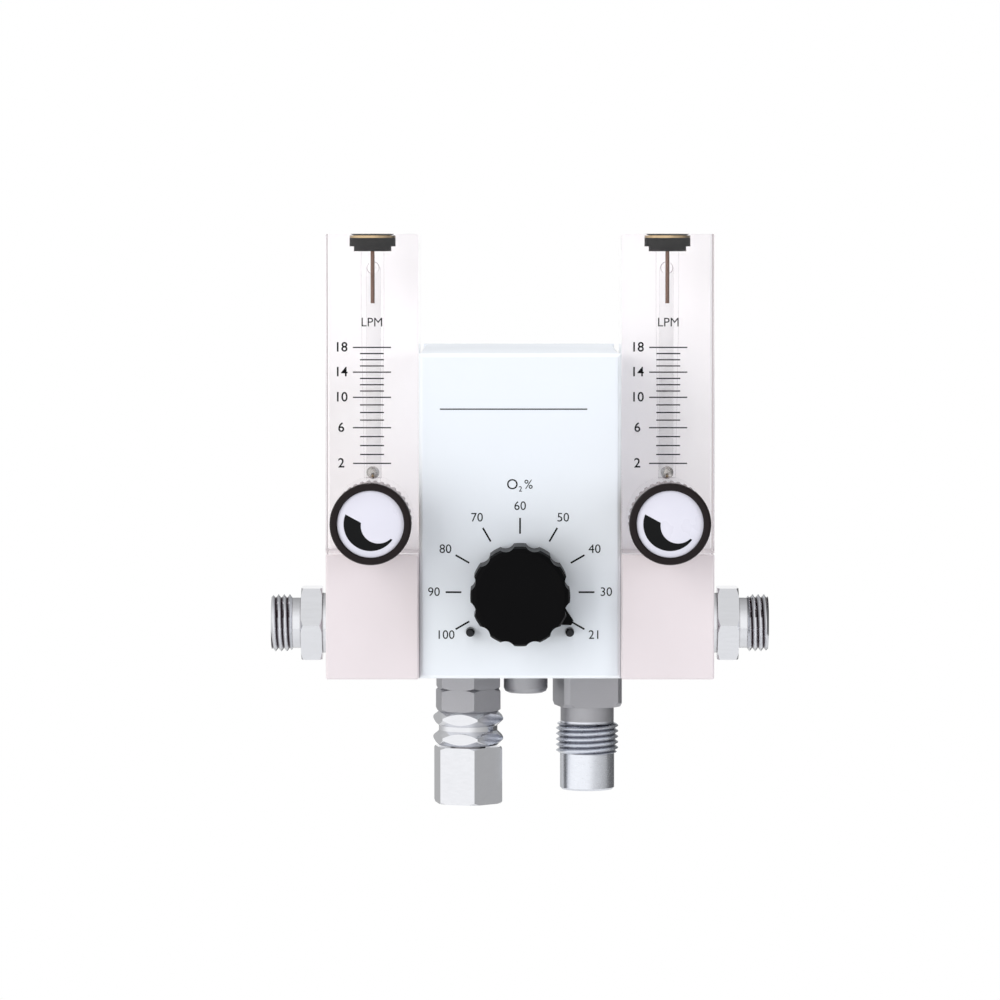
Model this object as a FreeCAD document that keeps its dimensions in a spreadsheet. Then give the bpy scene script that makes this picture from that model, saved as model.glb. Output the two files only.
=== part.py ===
import FreeCAD, Part
import math
import os
import Sketcher

# Air-oxygen blender with two acrylic flowmeters, in millimetres.
# X is to the right, Y goes back, Z is up. The front faces -Y.
# The origin is the middle of the dovetail's rear face, which slides on a wall or pole bracket.

# Driving sizes
SIZES = {
    # Front panel and housing
    "panel_width": 50.0,
    "panel_height": 80.5,
    "panel_thick": 3.0,
    "panel_edge": 0.8,
    "overlay_thick": 0.4,
    "overlay_margin": 0.9,
    "core_depth": 82.0,
    "cover_thick": 1.5,
    "cover_bend": 1.4,
    "cover_lip": 9.0,
    "rear_plate_thick": 3.0,
    "manifold_height": 40.0,
    # Countersunk screws of panel and rear plate
    "screw_radius": 1.5,
    "screw_head_radius": 2.8,
    "screw_head_depth": 1.5,
    "screw_length": 9.0,
    "screw_margin": 5.0,
    "screw_fit": 0.1,
    # Dovetail at the rear and its two screws
    "bracket_depth": 8.0,
    "bracket_wide": 32.0,
    "bracket_narrow": 26.0,
    "bracket_height": 46.0,
    "bracket_screw_radius": 2.0,
    "bracket_head_radius": 3.8,
    "bracket_head_depth": 2.0,
    "bracket_screw_length": 18.0,
    "bracket_screw_spacing": 26.0,
    # Mixing knob, its shaft and stops
    "dial_height": 21.5,
    "knob_radius": 12.25,
    "knob_length": 15.0,
    "knob_gap": 0.6,
    "knob_edge": 1.4,
    "knob_wall": 2.5,
    "flute_radius": 2.4,
    "flute_depth": 0.85,
    "pointer_reach": 14.9,
    "pointer_thick": 2.4,
    "pointer_root_half": 3.0,
    "pointer_tip_half": 0.6,
    "pointer_angle": -30.0,
    "pointer_overlap": 2.0,
    "shaft_radius": 3.0,
    "shaft_fit": 0.05,
    "set_screw_radius": 1.5,
    "set_screw_length": 5.0,
    "set_screw_height": 5.0,
    "press_fit": 0.02,
    "stop_pin_radius": 1.05,
    "stop_pin_circle": 15.7,
    "stop_pin_angle": 38.5,
    "stop_pin_proud": 3.6,
    "stop_pin_dome": 0.4,
    # Shaft bush and seal
    "bush_radius": 6.0,
    "bush_depth": 12.0,
    "bush_shoulder": 8.0,
    "seal_section": 0.95,
    "seal_gap": 0.1,
    # Mixing valve in the manifold, measured inwards from the manifold's front
    "chamber_radius": 5.5,
    "collar_radius": 4.8,
    "collar_thick": 1.5,
    "running_gap": 0.3,
    "lead_radius": 1.5,
    "lead_length": 5.0,
    "lead_fit": 0.08,
    "spindle_hub_radius": 4.0,
    "spindle_hub_length": 7.0,
    "spindle_rod_radius": 1.5,
    "spindle_neck": 4.0,
    "spindle_travel": 2.0,
    "mixing_seat_thick": 3.0,
    "mixing_seat_bore": 2.8,
    "valve_head_radius": 4.2,
    "valve_head_length": 4.8,
    "spring_collar_radius": 3.4,
    "spring_collar_thick": 1.2,
    "mixing_spring_length": 8.0,
    "spring_wire": 0.35,
    "spring_pitch": 2.4,
    "spring_gap": 0.1,
    # Balance module on top of the manifold
    "balance_width": 42.0,
    "balance_depth": 50.0,
    "balance_headroom": 7.0,
    "balance_setback": 24.0,
    "balance_cover_thick": 2.2,
    "balance_cover_radius": 11.0,
    "balance_chamber_radius": 9.0,
    "balance_chamber_depth": 6.0,
    "spool_radius": 4.0,
    "spool_head_radius": 7.5,
    "spool_head_thick": 2.4,
    "spool_travel": 0.6,
    "balance_screw_radius": 2.0,
    "balance_head_radius": 3.5,
    "balance_head_height": 4.0,
    "balance_screw_depth": 9.0,
    "balance_screw_spacing": 26.0,
    # Gas inlets under the manifold
    "inlet_setback": 40.0,
    "alarm_offset": 1.6,
    "inlet_gap": 0.3,
    "stub_radius": 5.0,
    "stub_length": 11.0,
    "thread_fit": 0.05,
    "passage_radius": 2.0,
    "cross_radius": 1.5,
    "inlet_chamber_radius": 3.5,
    "filter_length": 6.0,
    "filter_wall": 0.8,
    "filter_fit": 0.05,
    "inlet_mouth_radius": 2.2,
    "poppet_fit": 0.1,
    "poppet_length": 4.0,
    "poppet_bore": 1.6,
    "poppet_wall": 1.0,
    # Oxygen inlet: adapter, check valve body and swivel nut
    "collar_flats": 15.0,
    "collar_height": 6.1,
    "adapter_flats": 15.2,
    "adapter_height": 5.6,
    "hex_bevel": 0.9,
    "hex_rise": 0.55,
    "adapter_turn": 11.0,
    "rib_flats": 16.0,
    "rib_height": 3.8,
    "rib_neck_radius": 7.5,
    "rib_neck_height": 1.2,
    "rib_bevel": 1.75,
    "rib_land": 0.5,
    "rib_turn": 16.0,
    "check_stub_radius": 5.2,
    "check_stub_length": 6.0,
    "nut_flats": 16.0,
    "nut_length": 14.5,
    "nut_turn": 11.0,
    "nut_gap": 0.3,
    "nut_flange_thick": 3.0,
    "nut_thread_radius": 6.45,
    "nut_thread_length": 5.5,
    "nut_relief_radius": 6.7,
    "nut_bevel": 0.7,
    "tail_radius": 4.4,
    "tail_fit": 0.08,
    "tail_flange_radius": 6.0,
    "tail_flange_thick": 1.8,
    "tail_nose_radius": 3.6,
    "tail_nose_length": 3.6,
    # Air inlet: square block, neck, thread and plain nose
    "air_block_side": 15.1,
    "air_block_height": 10.5,
    "air_block_turn": -32.2,
    "air_block_corner": 9.8,
    "air_bevel": 1.0,
    "air_neck_radius": 6.8,
    "air_neck_height": 4.6,
    "air_thread_radius": 7.94,
    "air_thread_length": 7.1,
    "air_nose_radius": 6.92,
    "air_nose_length": 9.6,
    "air_seat_height": 12.0,
    "air_mouth_radius": 4.6,
    "air_mouth_depth": 8.0,
    # Alarm cap between the inlets
    "alarm_cap_radius": 5.6,
    "alarm_cap_height": 7.1,
    "alarm_cap_edge": 1.2,
    "alarm_stub_radius": 3.5,
    "alarm_stub_length": 7.0,
    "alarm_port_radius": 1.0,
    # Flowmeters
    "meter_width": 23.0,
    "meter_depth": 30.0,
    "meter_proud": 2.0,
    "meter_edge": 0.35,
    "base_height": 31.0,
    "tube_height": 79.0,
    "backing_thick": 2.0,
    "channel_radius": 1.75,
    "feed_setback": 10.0,
    "return_setback": 5.0,
    "nipple_radius": 3.0,
    "nipple_bore": 1.6,
    "nipple_half_length": 6.0,
    "meter_screw_grip": 7.5,
    "meter_screw_head_radius": 2.75,
    "meter_screw_head_height": 3.0,
    "meter_screw_counterbore": 3.4,
    "meter_screw_high": 26.0,
    "meter_screw_low": 4.6,
    "meter_screw_front": 8.6,
    "meter_screw_back": 3.4,
    "backing_screw_offset": 6.5,
    "backing_screw_low": 11.0,
    "backing_screw_high": 26.0,
    "backing_screw_length": 7.0,
    "backing_head_radius": 2.6,
    "backing_head_height": 1.6,
    # Tapered bore, float, plug and stop rod
    "bore_setback": 12.3,
    "taper_low": 49.5,
    "taper_high": 91.0,
    "taper_low_radius": 2.15,
    "taper_high_radius": 2.85,
    "float_radius": 1.6,
    "float_lift": 1.3,
    "float_port_radius": 1.0,
    "plug_rim_radius": 5.6,
    "plug_rim_thick": 1.0,
    "plug_seal_radius": 5.65,
    "plug_seal_height": 2.1,
    "plug_spigot_radius": 3.6,
    "seal_skirt_radius": 4.6,
    "seal_skirt_height": 1.2,
    "plug_fit": 0.06,
    "plug_slot_width": 1.0,
    "plug_slot_depth": 0.6,
    "return_port_drop": 8.5,
    "stop_rod_radius": 0.5,
    "stop_rod_drop": 17.2,
    # Flow valve and its knob
    "flow_knob_height": 39.5,
    "flow_bush_radius": 4.0,
    "flow_bush_depth": 11.0,
    "flow_flange_radius": 5.8,
    "flow_flange_thick": 1.0,
    "stem_radius": 2.0,
    "stem_fit": 0.05,
    "stem_seal_section": 0.7,
    "stem_groove": 0.4,
    "valve_room_radius": 2.4,
    "valve_room_depth": 2.5,
    "needle_radius": 1.1,
    "needle_seat_radius": 1.2,
    "needle_lead": 0.8,
    "needle_shoulder": 0.2,
    "flow_travel": 1.5,
    "flow_knob_radius": 9.85,
    "flow_knob_gap": 0.5,
    "flow_knob_length": 16.0,
    "flow_knob_recess": 2.0,
    "flow_knob_recess_radius": 7.0,
    "flow_bore_depth": 9.0,
    "knurl_depth": 0.35,
    "knurl_radius": 0.6,
    "ring_radius": 10.0,
    "ring_bore": 8.2,
    "ring_thick": 2.0,
    "ring_edge": 0.6,
    "face_fit": 0.05,
    "face_thick": 1.2,
    "face_dome": 0.7,
    # Side outlets
    "outlet_height": 12.9,
    "outlet_stub_radius": 5.5,
    "outlet_stub_length": 8.0,
    "outlet_shoulder_radius": 7.5,
    "outlet_shoulder_length": 1.2,
    "outlet_flats": 17.8,
    "outlet_hex_length": 5.25,
    "outlet_bevel": 0.9,
    "outlet_neck_radius": 6.3,
    "outlet_neck_length": 2.5,
    "outlet_thread_radius": 7.14,
    "outlet_thread_length": 5.0,
    "outlet_thread_bevel": 0.6,
    "outlet_bore_radius": 2.4,
    "outlet_mouth_radius": 4.2,
    "outlet_mouth_depth": 7.0,
}

# Counts that stay with the design of each piece
FLUTE_COUNT = 12
KNURL_COUNT = 36
WIRE_SIDES = 8

# Turns that carry a piece's own +Z to the direction named
OUTWARD = FreeCAD.Rotation(FreeCAD.Vector(1, 0, 0), 90)
INWARD = FreeCAD.Rotation(FreeCAD.Vector(1, 0, 0), -90)
DOWN = FreeCAD.Rotation(FreeCAD.Vector(1, 0, 0), 180)
UP = FreeCAD.Rotation()
LEFT = FreeCAD.Rotation(FreeCAD.Vector(0, 1, 0), -90)
RIGHT = FreeCAD.Rotation(FreeCAD.Vector(0, 1, 0), 90)

doc = FreeCAD.newDocument("gas_blender")
dim = doc.addObject("Spreadsheet::Sheet", "dim")
for row, (alias, size) in enumerate(SIZES.items(), start=1):
    dim.set(f"A{row}", alias.replace("_", " "))
    dim.set(f"B{row}", str(size))
    dim.setAlias(f"B{row}", alias)
doc.recompute()

# Planes and axes worked out from the sizes
half_width = "(dim.panel_width / 2)"
bottom = "(-dim.panel_height / 2)"
top = "(dim.panel_height / 2)"
plate_back = "(-dim.bracket_depth)"
core_back = f"({plate_back} - dim.rear_plate_thick)"
core_front = f"({core_back} - dim.core_depth)"
panel_face = f"({core_front} - dim.panel_thick)"
overlay_face = f"({panel_face} - dim.overlay_thick)"
meter_face = f"({overlay_face} - dim.meter_proud)"
meter_back = f"({meter_face} + dim.meter_depth)"
core_half = f"({half_width} - dim.cover_thick)"
manifold_top = f"({bottom} + dim.manifold_height)"
balance_top = f"({top} - dim.cover_thick - dim.balance_headroom)"
dial_z = f"({bottom} + dim.dial_height)"
inlet_y = f"({panel_face} + dim.inlet_setback)"
oxygen_x = "(dim.alarm_offset - dim.alarm_cap_radius - dim.inlet_gap - dim.adapter_flats / sqrt(3))"
air_x = "(dim.alarm_offset + dim.alarm_cap_radius + dim.inlet_gap + dim.air_block_corner)"
meter_axis = f"({half_width} + dim.meter_width / 2)"
meter_outer = f"({half_width} + dim.meter_width)"
base_top = f"({bottom} + dim.base_height)"
tube_top = f"({base_top} + dim.tube_height)"
valve_z = f"({bottom} + dim.flow_knob_height)"
outlet_y = f"({meter_face} + dim.meter_depth / 2)"
outlet_z = f"({bottom} + dim.outlet_height)"
feed_y = f"({meter_back} - dim.feed_setback)"
return_y = f"({meter_back} - dim.return_setback)"
bore_y = f"({meter_face} + dim.bore_setback)"

parts = {}


def value(expression):
    return float(dim.evalExpression(str(expression)))


def bind(item, name, expression):
    item.setExpression(name, str(expression))


def keep(label, item):
    item.Label = label
    parts[label] = item
    return item


def place(item, x, y, z, rotation):
    item.Placement = FreeCAD.Placement(FreeCAD.Vector(), rotation)
    bind(item, "Placement.Base.x", x)
    bind(item, "Placement.Base.y", y)
    bind(item, "Placement.Base.z", z)
    return item


# Primitive solids, each given by its lowest and highest planes
def block(name, x, y, z):
    box = doc.addObject("Part::Box", name)
    for side, (low, high) in zip(("Length", "Width", "Height"), (x, y, z)):
        bind(box, side, f"({high}) - ({low})")
    return place(box, x[0], y[0], z[0], UP)


def rod(name, rotation, x, y, z, radius, length):
    cylinder = doc.addObject("Part::Cylinder", name)
    bind(cylinder, "Radius", radius)
    bind(cylinder, "Height", length)
    return place(cylinder, x, y, z, rotation)


def cone(name, rotation, x, y, z, radius, end_radius, length):
    tapered = doc.addObject("Part::Cone", name)
    bind(tapered, "Radius1", radius)
    bind(tapered, "Radius2", end_radius)
    bind(tapered, "Height", length)
    return place(tapered, x, y, z, rotation)


def ring(name, rotation, x, y, z, radius, section):
    torus = doc.addObject("Part::Torus", name)
    bind(torus, "Radius1", radius)
    bind(torus, "Radius2", section)
    return place(torus, x, y, z, rotation)


def fused(name, shapes):
    joined = doc.addObject("Part::MultiFuse", name)
    joined.Shapes = shapes
    return joined


def cut(name, base, tools):
    result = doc.addObject("Part::Cut", name)
    result.Base = base
    result.Tool = tools[0] if len(tools) == 1 else fused(name + "_tools", tools)
    return result


def group(name, items):
    together = doc.addObject("Part::Compound", name)
    together.Links = items
    return together


# Bodies made from sketches
def new_body(name, x, y, z, rotation):
    body = doc.addObject("PartDesign::Body", name)
    return place(body, x, y, z, rotation)


def new_sketch(body, name, role, height="0"):
    sketch = body.newObject("Sketcher::SketchObject", name)
    plane = [item for item in body.Origin.OriginFeatures if item.Role == role][0]
    sketch.AttachmentSupport = [(plane, "")]
    sketch.MapMode = "FlatFace"
    bind(sketch, "AttachmentOffset.Base.z", height)
    return sketch


def pin_point(sketch, item, point, x, y):
    for kind, axis, expression in (("DistanceX", -2, x), ("DistanceY", -1, y)):
        if str(expression) == "0":
            sketch.addConstraint(Sketcher.Constraint("PointOnObject", item, point, axis))
        else:
            size = value(expression)
            index = sketch.addConstraint(Sketcher.Constraint(kind, -1, 1, item, point, size))
            bind(sketch, f"Constraints[{index}]", expression)


def draw_outline(sketch, corners):
    spots = [FreeCAD.Vector(value(x), value(y), 0) for x, y in corners]
    count = len(corners)
    for index in range(count):
        sketch.addGeometry(Part.LineSegment(spots[index], spots[(index + 1) % count]), False)
    for index in range(count):
        sketch.addConstraint(Sketcher.Constraint("Coincident", index, 2, (index + 1) % count, 1))
    for index, (x, y) in enumerate(corners):
        pin_point(sketch, index, 1, x, y)


def draw_circle(sketch, x, y, radius):
    centre = FreeCAD.Vector(value(x), value(y), 0)
    circle = Part.Circle(centre, FreeCAD.Vector(0, 0, 1), value(radius))
    index = sketch.addGeometry(circle, False)
    pin_point(sketch, index, 3, x, y)
    size = sketch.addConstraint(Sketcher.Constraint("Radius", index, value(radius)))
    bind(sketch, f"Constraints[{size}]", radius)


def turn(body, name, corners, kind="PartDesign::Revolution"):
    sketch = new_sketch(body, name + "_outline", "XZ_Plane")
    draw_outline(sketch, corners)
    feature = body.newObject(kind, name)
    feature.Profile = sketch
    feature.ReferenceAxis = (sketch, ["V_Axis"])
    feature.Angle = 360
    sketch.Visibility = False
    doc.recompute()
    return feature


def groove(body, name, corners):
    return turn(body, name, corners, "PartDesign::Groove")


def pad(body, name, corners, low, length, kind="PartDesign::Pad"):
    sketch = new_sketch(body, name + "_outline", "XY_Plane", low)
    draw_outline(sketch, corners)
    return extrude(body, name, sketch, length, kind)


def extrude(body, name, sketch, length, kind):
    feature = body.newObject(kind, name)
    feature.Profile = sketch
    bind(feature, "Length", length)
    if kind == "PartDesign::Pocket":
        feature.Reversed = True
    sketch.Visibility = False
    doc.recompute()
    return feature


def drill(body, name, x, y, radius, low, length):
    sketch = new_sketch(body, name + "_circle", "XY_Plane", low)
    draw_circle(sketch, x, y, radius)
    return extrude(body, name, sketch, length, "PartDesign::Pocket")


def round_pattern(body, name, feature, count):
    pattern = body.newObject("PartDesign::PolarPattern", name)
    pattern.Originals = [feature]
    axis = [item for item in body.Origin.OriginFeatures if item.Role == "Z_Axis"][0]
    pattern.Axis = (axis, [""])
    pattern.Angle = 360
    pattern.Occurrences = count
    body.Tip = pattern
    doc.recompute()
    return pattern


def polygon(count, across, turned_by):
    # corners of a bar of so many flats, one corner at the angle given from local X
    reach = f"({across}) / 2 / cos(180 / {count})"
    angles = [f"({turned_by} + {index * 360 // count})" for index in range(count)]
    return [(f"{reach} * cos({angle})", f"{reach} * sin({angle})") for angle in angles]


def turn_corners(body, name, flats, bevel, rise, low, high):
    # conical faces on the corners at both ends of a hexagon bar
    corner = f"(({flats}) / sqrt(3))"
    clear = f"({corner} + 1)"
    face = f"({corner} - {bevel})"
    slope = f"(({rise}) * ({bevel} + 1) / {bevel})"
    groove(body, name + "_low", [(face, low), (clear, low), (clear, f"{low} + {slope}")])
    groove(body, name + "_high", [(face, high), (clear, f"{high} - {slope}"), (clear, high)])


def coil(name, rotation, x, y, z, radius, length):
    # helix of wire whose lowest point is at its own foot plane
    wire = value("dim.spring_wire")
    mean = value(radius)
    rise = value(length) - 2 * wire
    helix = Part.makeHelix(value("dim.spring_pitch"), rise, mean)
    angles = [2 * math.pi * index / WIRE_SIDES for index in range(WIRE_SIDES + 1)]
    profile = Part.makePolygon([FreeCAD.Vector(mean + wire * math.cos(angle), 0, wire * math.sin(angle))
                                for angle in angles])
    swept = Part.Wire(helix.Edges).makePipeShell([profile], True, True)
    spring = doc.addObject("Part::Feature", name)
    spring.Shape = swept
    start = FreeCAD.Vector(value(x), value(y), value(z)) + rotation.multVec(FreeCAD.Vector(0, 0, wire))
    spring.Placement = FreeCAD.Placement(start, rotation)
    return spring


def flat_screw(name, rotation, x, y, z, thread="screw"):
    # countersunk screw, its head flush with the plane that it starts from
    head = "bracket" if thread == "bracket_screw" else "screw"
    taper = cone(name + "_head", rotation, x, y, z, f"dim.{head}_head_radius",
                 f"dim.{thread}_radius", f"dim.{head}_head_depth")
    shank = rod(name + "_shank", rotation, x, y, z, f"dim.{thread}_radius", f"dim.{thread}_length")
    return fused(name, [taper, shank])


def flat_screw_hole(name, rotation, x, y, z, length, thread="screw"):
    head = "bracket" if thread == "bracket_screw" else "screw"
    taper = cone(name + "_sink", rotation, x, y, z, f"dim.{head}_head_radius + dim.screw_fit",
                 f"dim.{thread}_radius + dim.screw_fit", f"dim.{head}_head_depth + dim.screw_fit")
    hole = rod(name + "_hole", rotation, x, y, z, f"dim.{thread}_radius + dim.screw_fit", length)
    return [taper, hole]


# Places of the four screws of panel and rear plate
screw_x = f"({core_half} - dim.screw_margin)"
screw_low = f"({bottom} + dim.screw_margin)"
screw_high = f"({top} - dim.cover_thick - dim.cover_lip / 2)"
corner_screws = [(f"-{screw_x}", screw_low), (screw_x, screw_low),
                 (f"-{screw_x}", screw_high), (screw_x, screw_high)]
pin_x = "(dim.stop_pin_circle * cos(dim.stop_pin_angle))"
pin_z = f"({dial_z} - dim.stop_pin_circle * sin(dim.stop_pin_angle))"


def make_front_panel():
    body = new_body("panel_body", "0", core_front, "0", OUTWARD)
    corners = [(f"-{half_width}", bottom), (half_width, bottom), (half_width, top),
               (f"-{half_width}", top)]
    plate = pad(body, "panel_plate", corners, "0", "dim.panel_thick")
    rim = body.newObject("PartDesign::Fillet", "panel_rim")
    front = [f"Edge{number + 1}" for number, edge in enumerate(plate.Shape.Edges)
             if edge.BoundBox.ZMin > value("dim.panel_thick") - 0.001]
    rim.Base = (plate, front)
    bind(rim, "Radius", "dim.panel_edge")
    doc.recompute()
    drill(body, "bush_hole", "0", dial_z, "dim.bush_radius + dim.screw_fit", "0", "dim.panel_thick")
    for side, name in (("-", "left"), ("", "right")):
        drill(body, f"pin_hole_{name}", side + pin_x, pin_z, "dim.stop_pin_radius + dim.press_fit",
              "0", "dim.panel_thick")
    holes = []
    for number, (x, z) in enumerate(corner_screws):
        holes += flat_screw_hole(f"panel_screw_{number}", INWARD, x, panel_face, z, "dim.panel_thick")
    keep("front_panel", cut("front_panel", body, holes))


def make_overlay():
    x = f"({half_width} - dim.overlay_margin)"
    low = f"({bottom} + dim.overlay_margin)"
    high = f"({top} - dim.overlay_margin)"
    body = new_body("overlay_body", "0", panel_face, "0", OUTWARD)
    pad(body, "overlay_film", [(f"-{x}", low), (x, low), (x, high), (f"-{x}", high)],
        "0", "dim.overlay_thick")
    drill(body, "shaft_window", "0", dial_z, "dim.bush_radius - dim.overlay_margin",
          "0", "dim.overlay_thick")
    for side, name in (("-", "left"), ("", "right")):
        drill(body, f"pin_window_{name}", side + pin_x, pin_z,
              "dim.stop_pin_radius + dim.screw_fit", "0", "dim.overlay_thick")
    keep("panel_overlay", body)


def make_panel_screws():
    screws = [flat_screw(f"front_screw_{number}", INWARD, x, panel_face, z)
              for number, (x, z) in enumerate(corner_screws)]
    keep("panel_screws", group("panel_screw_set", screws))


def make_stop_pins():
    pins = []
    length = "(dim.panel_thick + dim.overlay_thick + dim.stop_pin_proud)"
    for side, name in (("-", "left"), ("", "right")):
        body = new_body(f"stop_pin_{name}", side + pin_x, core_front, pin_z, OUTWARD)
        turn(body, f"stop_pin_turned_{name}",
             [("0", "0"), ("dim.stop_pin_radius", "0"),
              ("dim.stop_pin_radius", f"{length} - dim.stop_pin_dome"),
              ("dim.stop_pin_radius - dim.stop_pin_dome", length), ("0", length)])
        pins.append(body)
    keep("stop_pins", group("stop_pin_set", pins))


def make_cover():
    y = (core_front, core_back)
    outer = block("cover_outer", (f"-{half_width}", half_width), y, (bottom, top))
    bends = doc.addObject("Part::Fillet", "cover_bends")
    bends.Base = outer
    doc.recompute()
    radius = value("dim.cover_bend")
    bends.Edges = [(number + 1, radius, radius) for number, edge in enumerate(outer.Shape.Edges)
                   if edge.BoundBox.ZMin > value(top) - 0.001 and edge.BoundBox.YLength > 1]
    inner_top = f"({top} - dim.cover_thick)"
    hollow = block("cover_hollow", (f"-{core_half}", core_half),
                   (f"{core_front} + dim.cover_thick", f"{core_back} - dim.cover_thick"),
                   (f"{bottom} - 1", inner_top))
    mouth = block("cover_mouth", (f"-{core_half}", core_half), (f"{core_front} - 1", f"{core_back} + 1"),
                  (f"{bottom} - 1", f"{inner_top} - dim.cover_lip"))
    holes = [hollow, mouth]
    length = f"({half_width} * 2 + 2)"
    start = f"-{half_width} - 1"
    holes.append(rod("cover_feed_hole", RIGHT, start, feed_y, dial_z,
                     "dim.nipple_radius + dim.screw_fit", length))
    for number, (y_screw, z_screw) in enumerate(meter_screw_places()):
        holes.append(rod(f"cover_meter_hole_{number}", RIGHT, start, y_screw, z_screw,
                         "dim.screw_radius + dim.screw_fit", length))
    for number, (x, z) in enumerate(corner_screws[2:]):
        holes.append(rod(f"cover_lip_hole_{number}", INWARD, x, f"{core_front} - 1", z,
                         "dim.screw_radius + dim.screw_fit", "dim.core_depth + 2"))
    keep("housing_cover", cut("cover", bends, holes))


# depth of the dovetail screws' threads behind the rear plate, with a little over
bracket_thread = "(dim.bracket_screw_length - dim.bracket_depth - dim.rear_plate_thick + 1)"


def meter_screw_places():
    front = f"({meter_face} + dim.meter_screw_front)"
    back = f"({meter_back} - dim.meter_screw_back)"
    return [(front, f"({bottom} + dim.meter_screw_high)"), (back, f"({bottom} + dim.meter_screw_low)")]


# Lengths of the mixing valve, measured inwards from the manifold's front
collar_start = "(dim.bush_depth + dim.running_gap)"
lead_start = f"({collar_start} + dim.collar_thick)"
hub_start = f"({lead_start} + dim.running_gap)"
hub_end = f"({hub_start} + dim.spindle_hub_length)"
seat_start = f"({hub_end} + dim.spindle_neck)"
seat_end = f"({seat_start} + dim.mixing_seat_thick)"
head_start = f"({seat_end} + dim.running_gap)"
head_end = f"({head_start} + dim.valve_head_length)"
second_seat = f"({head_end} + dim.spindle_travel + dim.running_gap)"
second_end = f"({second_seat} + dim.mixing_seat_thick)"
spring_collar = f"({second_end} + dim.running_gap)"
spring_start = f"({spring_collar} + dim.spring_collar_thick)"
chamber_end = f"({spring_start} + dim.mixing_spring_length)"


def make_manifold():
    base = block("manifold_bar", (f"-{core_half}", core_half), (core_front, core_back),
                 (bottom, manifold_top))
    tools = [
        rod("bush_bore", INWARD, "0", core_front, dial_z, "dim.bush_radius + dim.thread_fit",
            "dim.bush_depth"),
        rod("valve_bore", INWARD, "0", core_front, dial_z, "dim.chamber_radius", chamber_end),
        rod("feed_bore", RIGHT, f"-{core_half} - 1", feed_y, dial_z, "dim.channel_radius",
            f"2 * {core_half} + 2"),
    ]
    for side, direction in (("-", RIGHT), ("", LEFT)):
        name = "left" if side == "-" else "right"
        tools.append(rod(f"nipple_seat_{name}", direction, side + core_half, feed_y, dial_z,
                         "dim.nipple_radius + dim.thread_fit", "dim.nipple_half_length"))
        for number, (y, z) in enumerate(meter_screw_places()):
            tools.append(rod(f"meter_thread_{name}_{number}", direction, side + core_half, y, z,
                             "dim.screw_radius + dim.thread_fit", "dim.meter_screw_grip + 1"))
    for offset, name in ((oxygen_x, "oxygen"), (air_x, "air")):
        tools.append(rod(f"{name}_bore", UP, offset, inlet_y, bottom,
                         "dim.stub_radius + dim.thread_fit", "dim.stub_length"))
        tools.append(rod(f"{name}_riser", UP, offset, inlet_y, bottom, "dim.passage_radius",
                         "dim.manifold_height"))
    tools.append(rod("alarm_bore", UP, "dim.alarm_offset", inlet_y, bottom,
                     "dim.alarm_stub_radius + dim.thread_fit", "dim.alarm_stub_length"))
    tools.append(rod("alarm_riser", UP, "dim.alarm_offset", inlet_y, bottom,
                     "dim.alarm_port_radius", "dim.dial_height"))
    for start, name in ((seat_start, "front"), (second_end, "rear")):
        tools.append(rod(f"return_{name}", DOWN, "0", f"{core_front} + {start}", manifold_top,
                         "dim.alarm_port_radius", f"{manifold_top} - {dial_z}"))
    for number, (x, z) in enumerate(corner_screws[:2]):
        tools.append(rod(f"front_thread_{number}", INWARD, x, core_front, z,
                         "dim.screw_radius + dim.thread_fit", "dim.screw_length"))
        tools.append(rod(f"rear_thread_{number}", OUTWARD, x, core_back, z,
                         "dim.screw_radius + dim.thread_fit", "dim.screw_length"))
    tools.append(rod("bracket_thread_low", OUTWARD, "0", core_back, "-dim.bracket_screw_spacing / 2",
                     "dim.bracket_screw_radius + dim.thread_fit", bracket_thread))
    for y, name in balance_screw_places():
        tools.append(rod(f"balance_thread_{name}", DOWN, "0", y, manifold_top,
                         "dim.balance_screw_radius + dim.thread_fit", "dim.balance_screw_depth"))
    keep("manifold_block", cut("manifold", base, tools))


def make_shaft_bush():
    body = new_body("bush_turned", "0", core_front, dial_z, INWARD)
    inner = "(dim.shaft_radius + dim.shaft_fit)"
    gland = "(dim.shaft_radius + dim.shaft_fit + 2 * dim.seal_section + dim.press_fit)"
    turn(body, "bush_section",
         [(inner, "-dim.panel_thick"), ("dim.bush_radius", "-dim.panel_thick"),
          ("dim.bush_radius", "dim.bush_depth"), (gland, "dim.bush_depth"),
          (gland, "dim.bush_shoulder"), (inner, "dim.bush_shoulder")])
    keep("shaft_bush", body)
    middle = f"({core_front} + dim.bush_shoulder + dim.seal_section + dim.seal_gap)"
    keep("shaft_seal", ring("shaft_seal", INWARD, "0", middle, dial_z,
                            f"{inner} + dim.seal_section", "dim.seal_section"))


knob_back = f"({overlay_face} - dim.knob_gap)"
knob_front = f"({knob_back} - dim.knob_length)"
shaft_front = f"({knob_front} + dim.knob_wall)"


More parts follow.
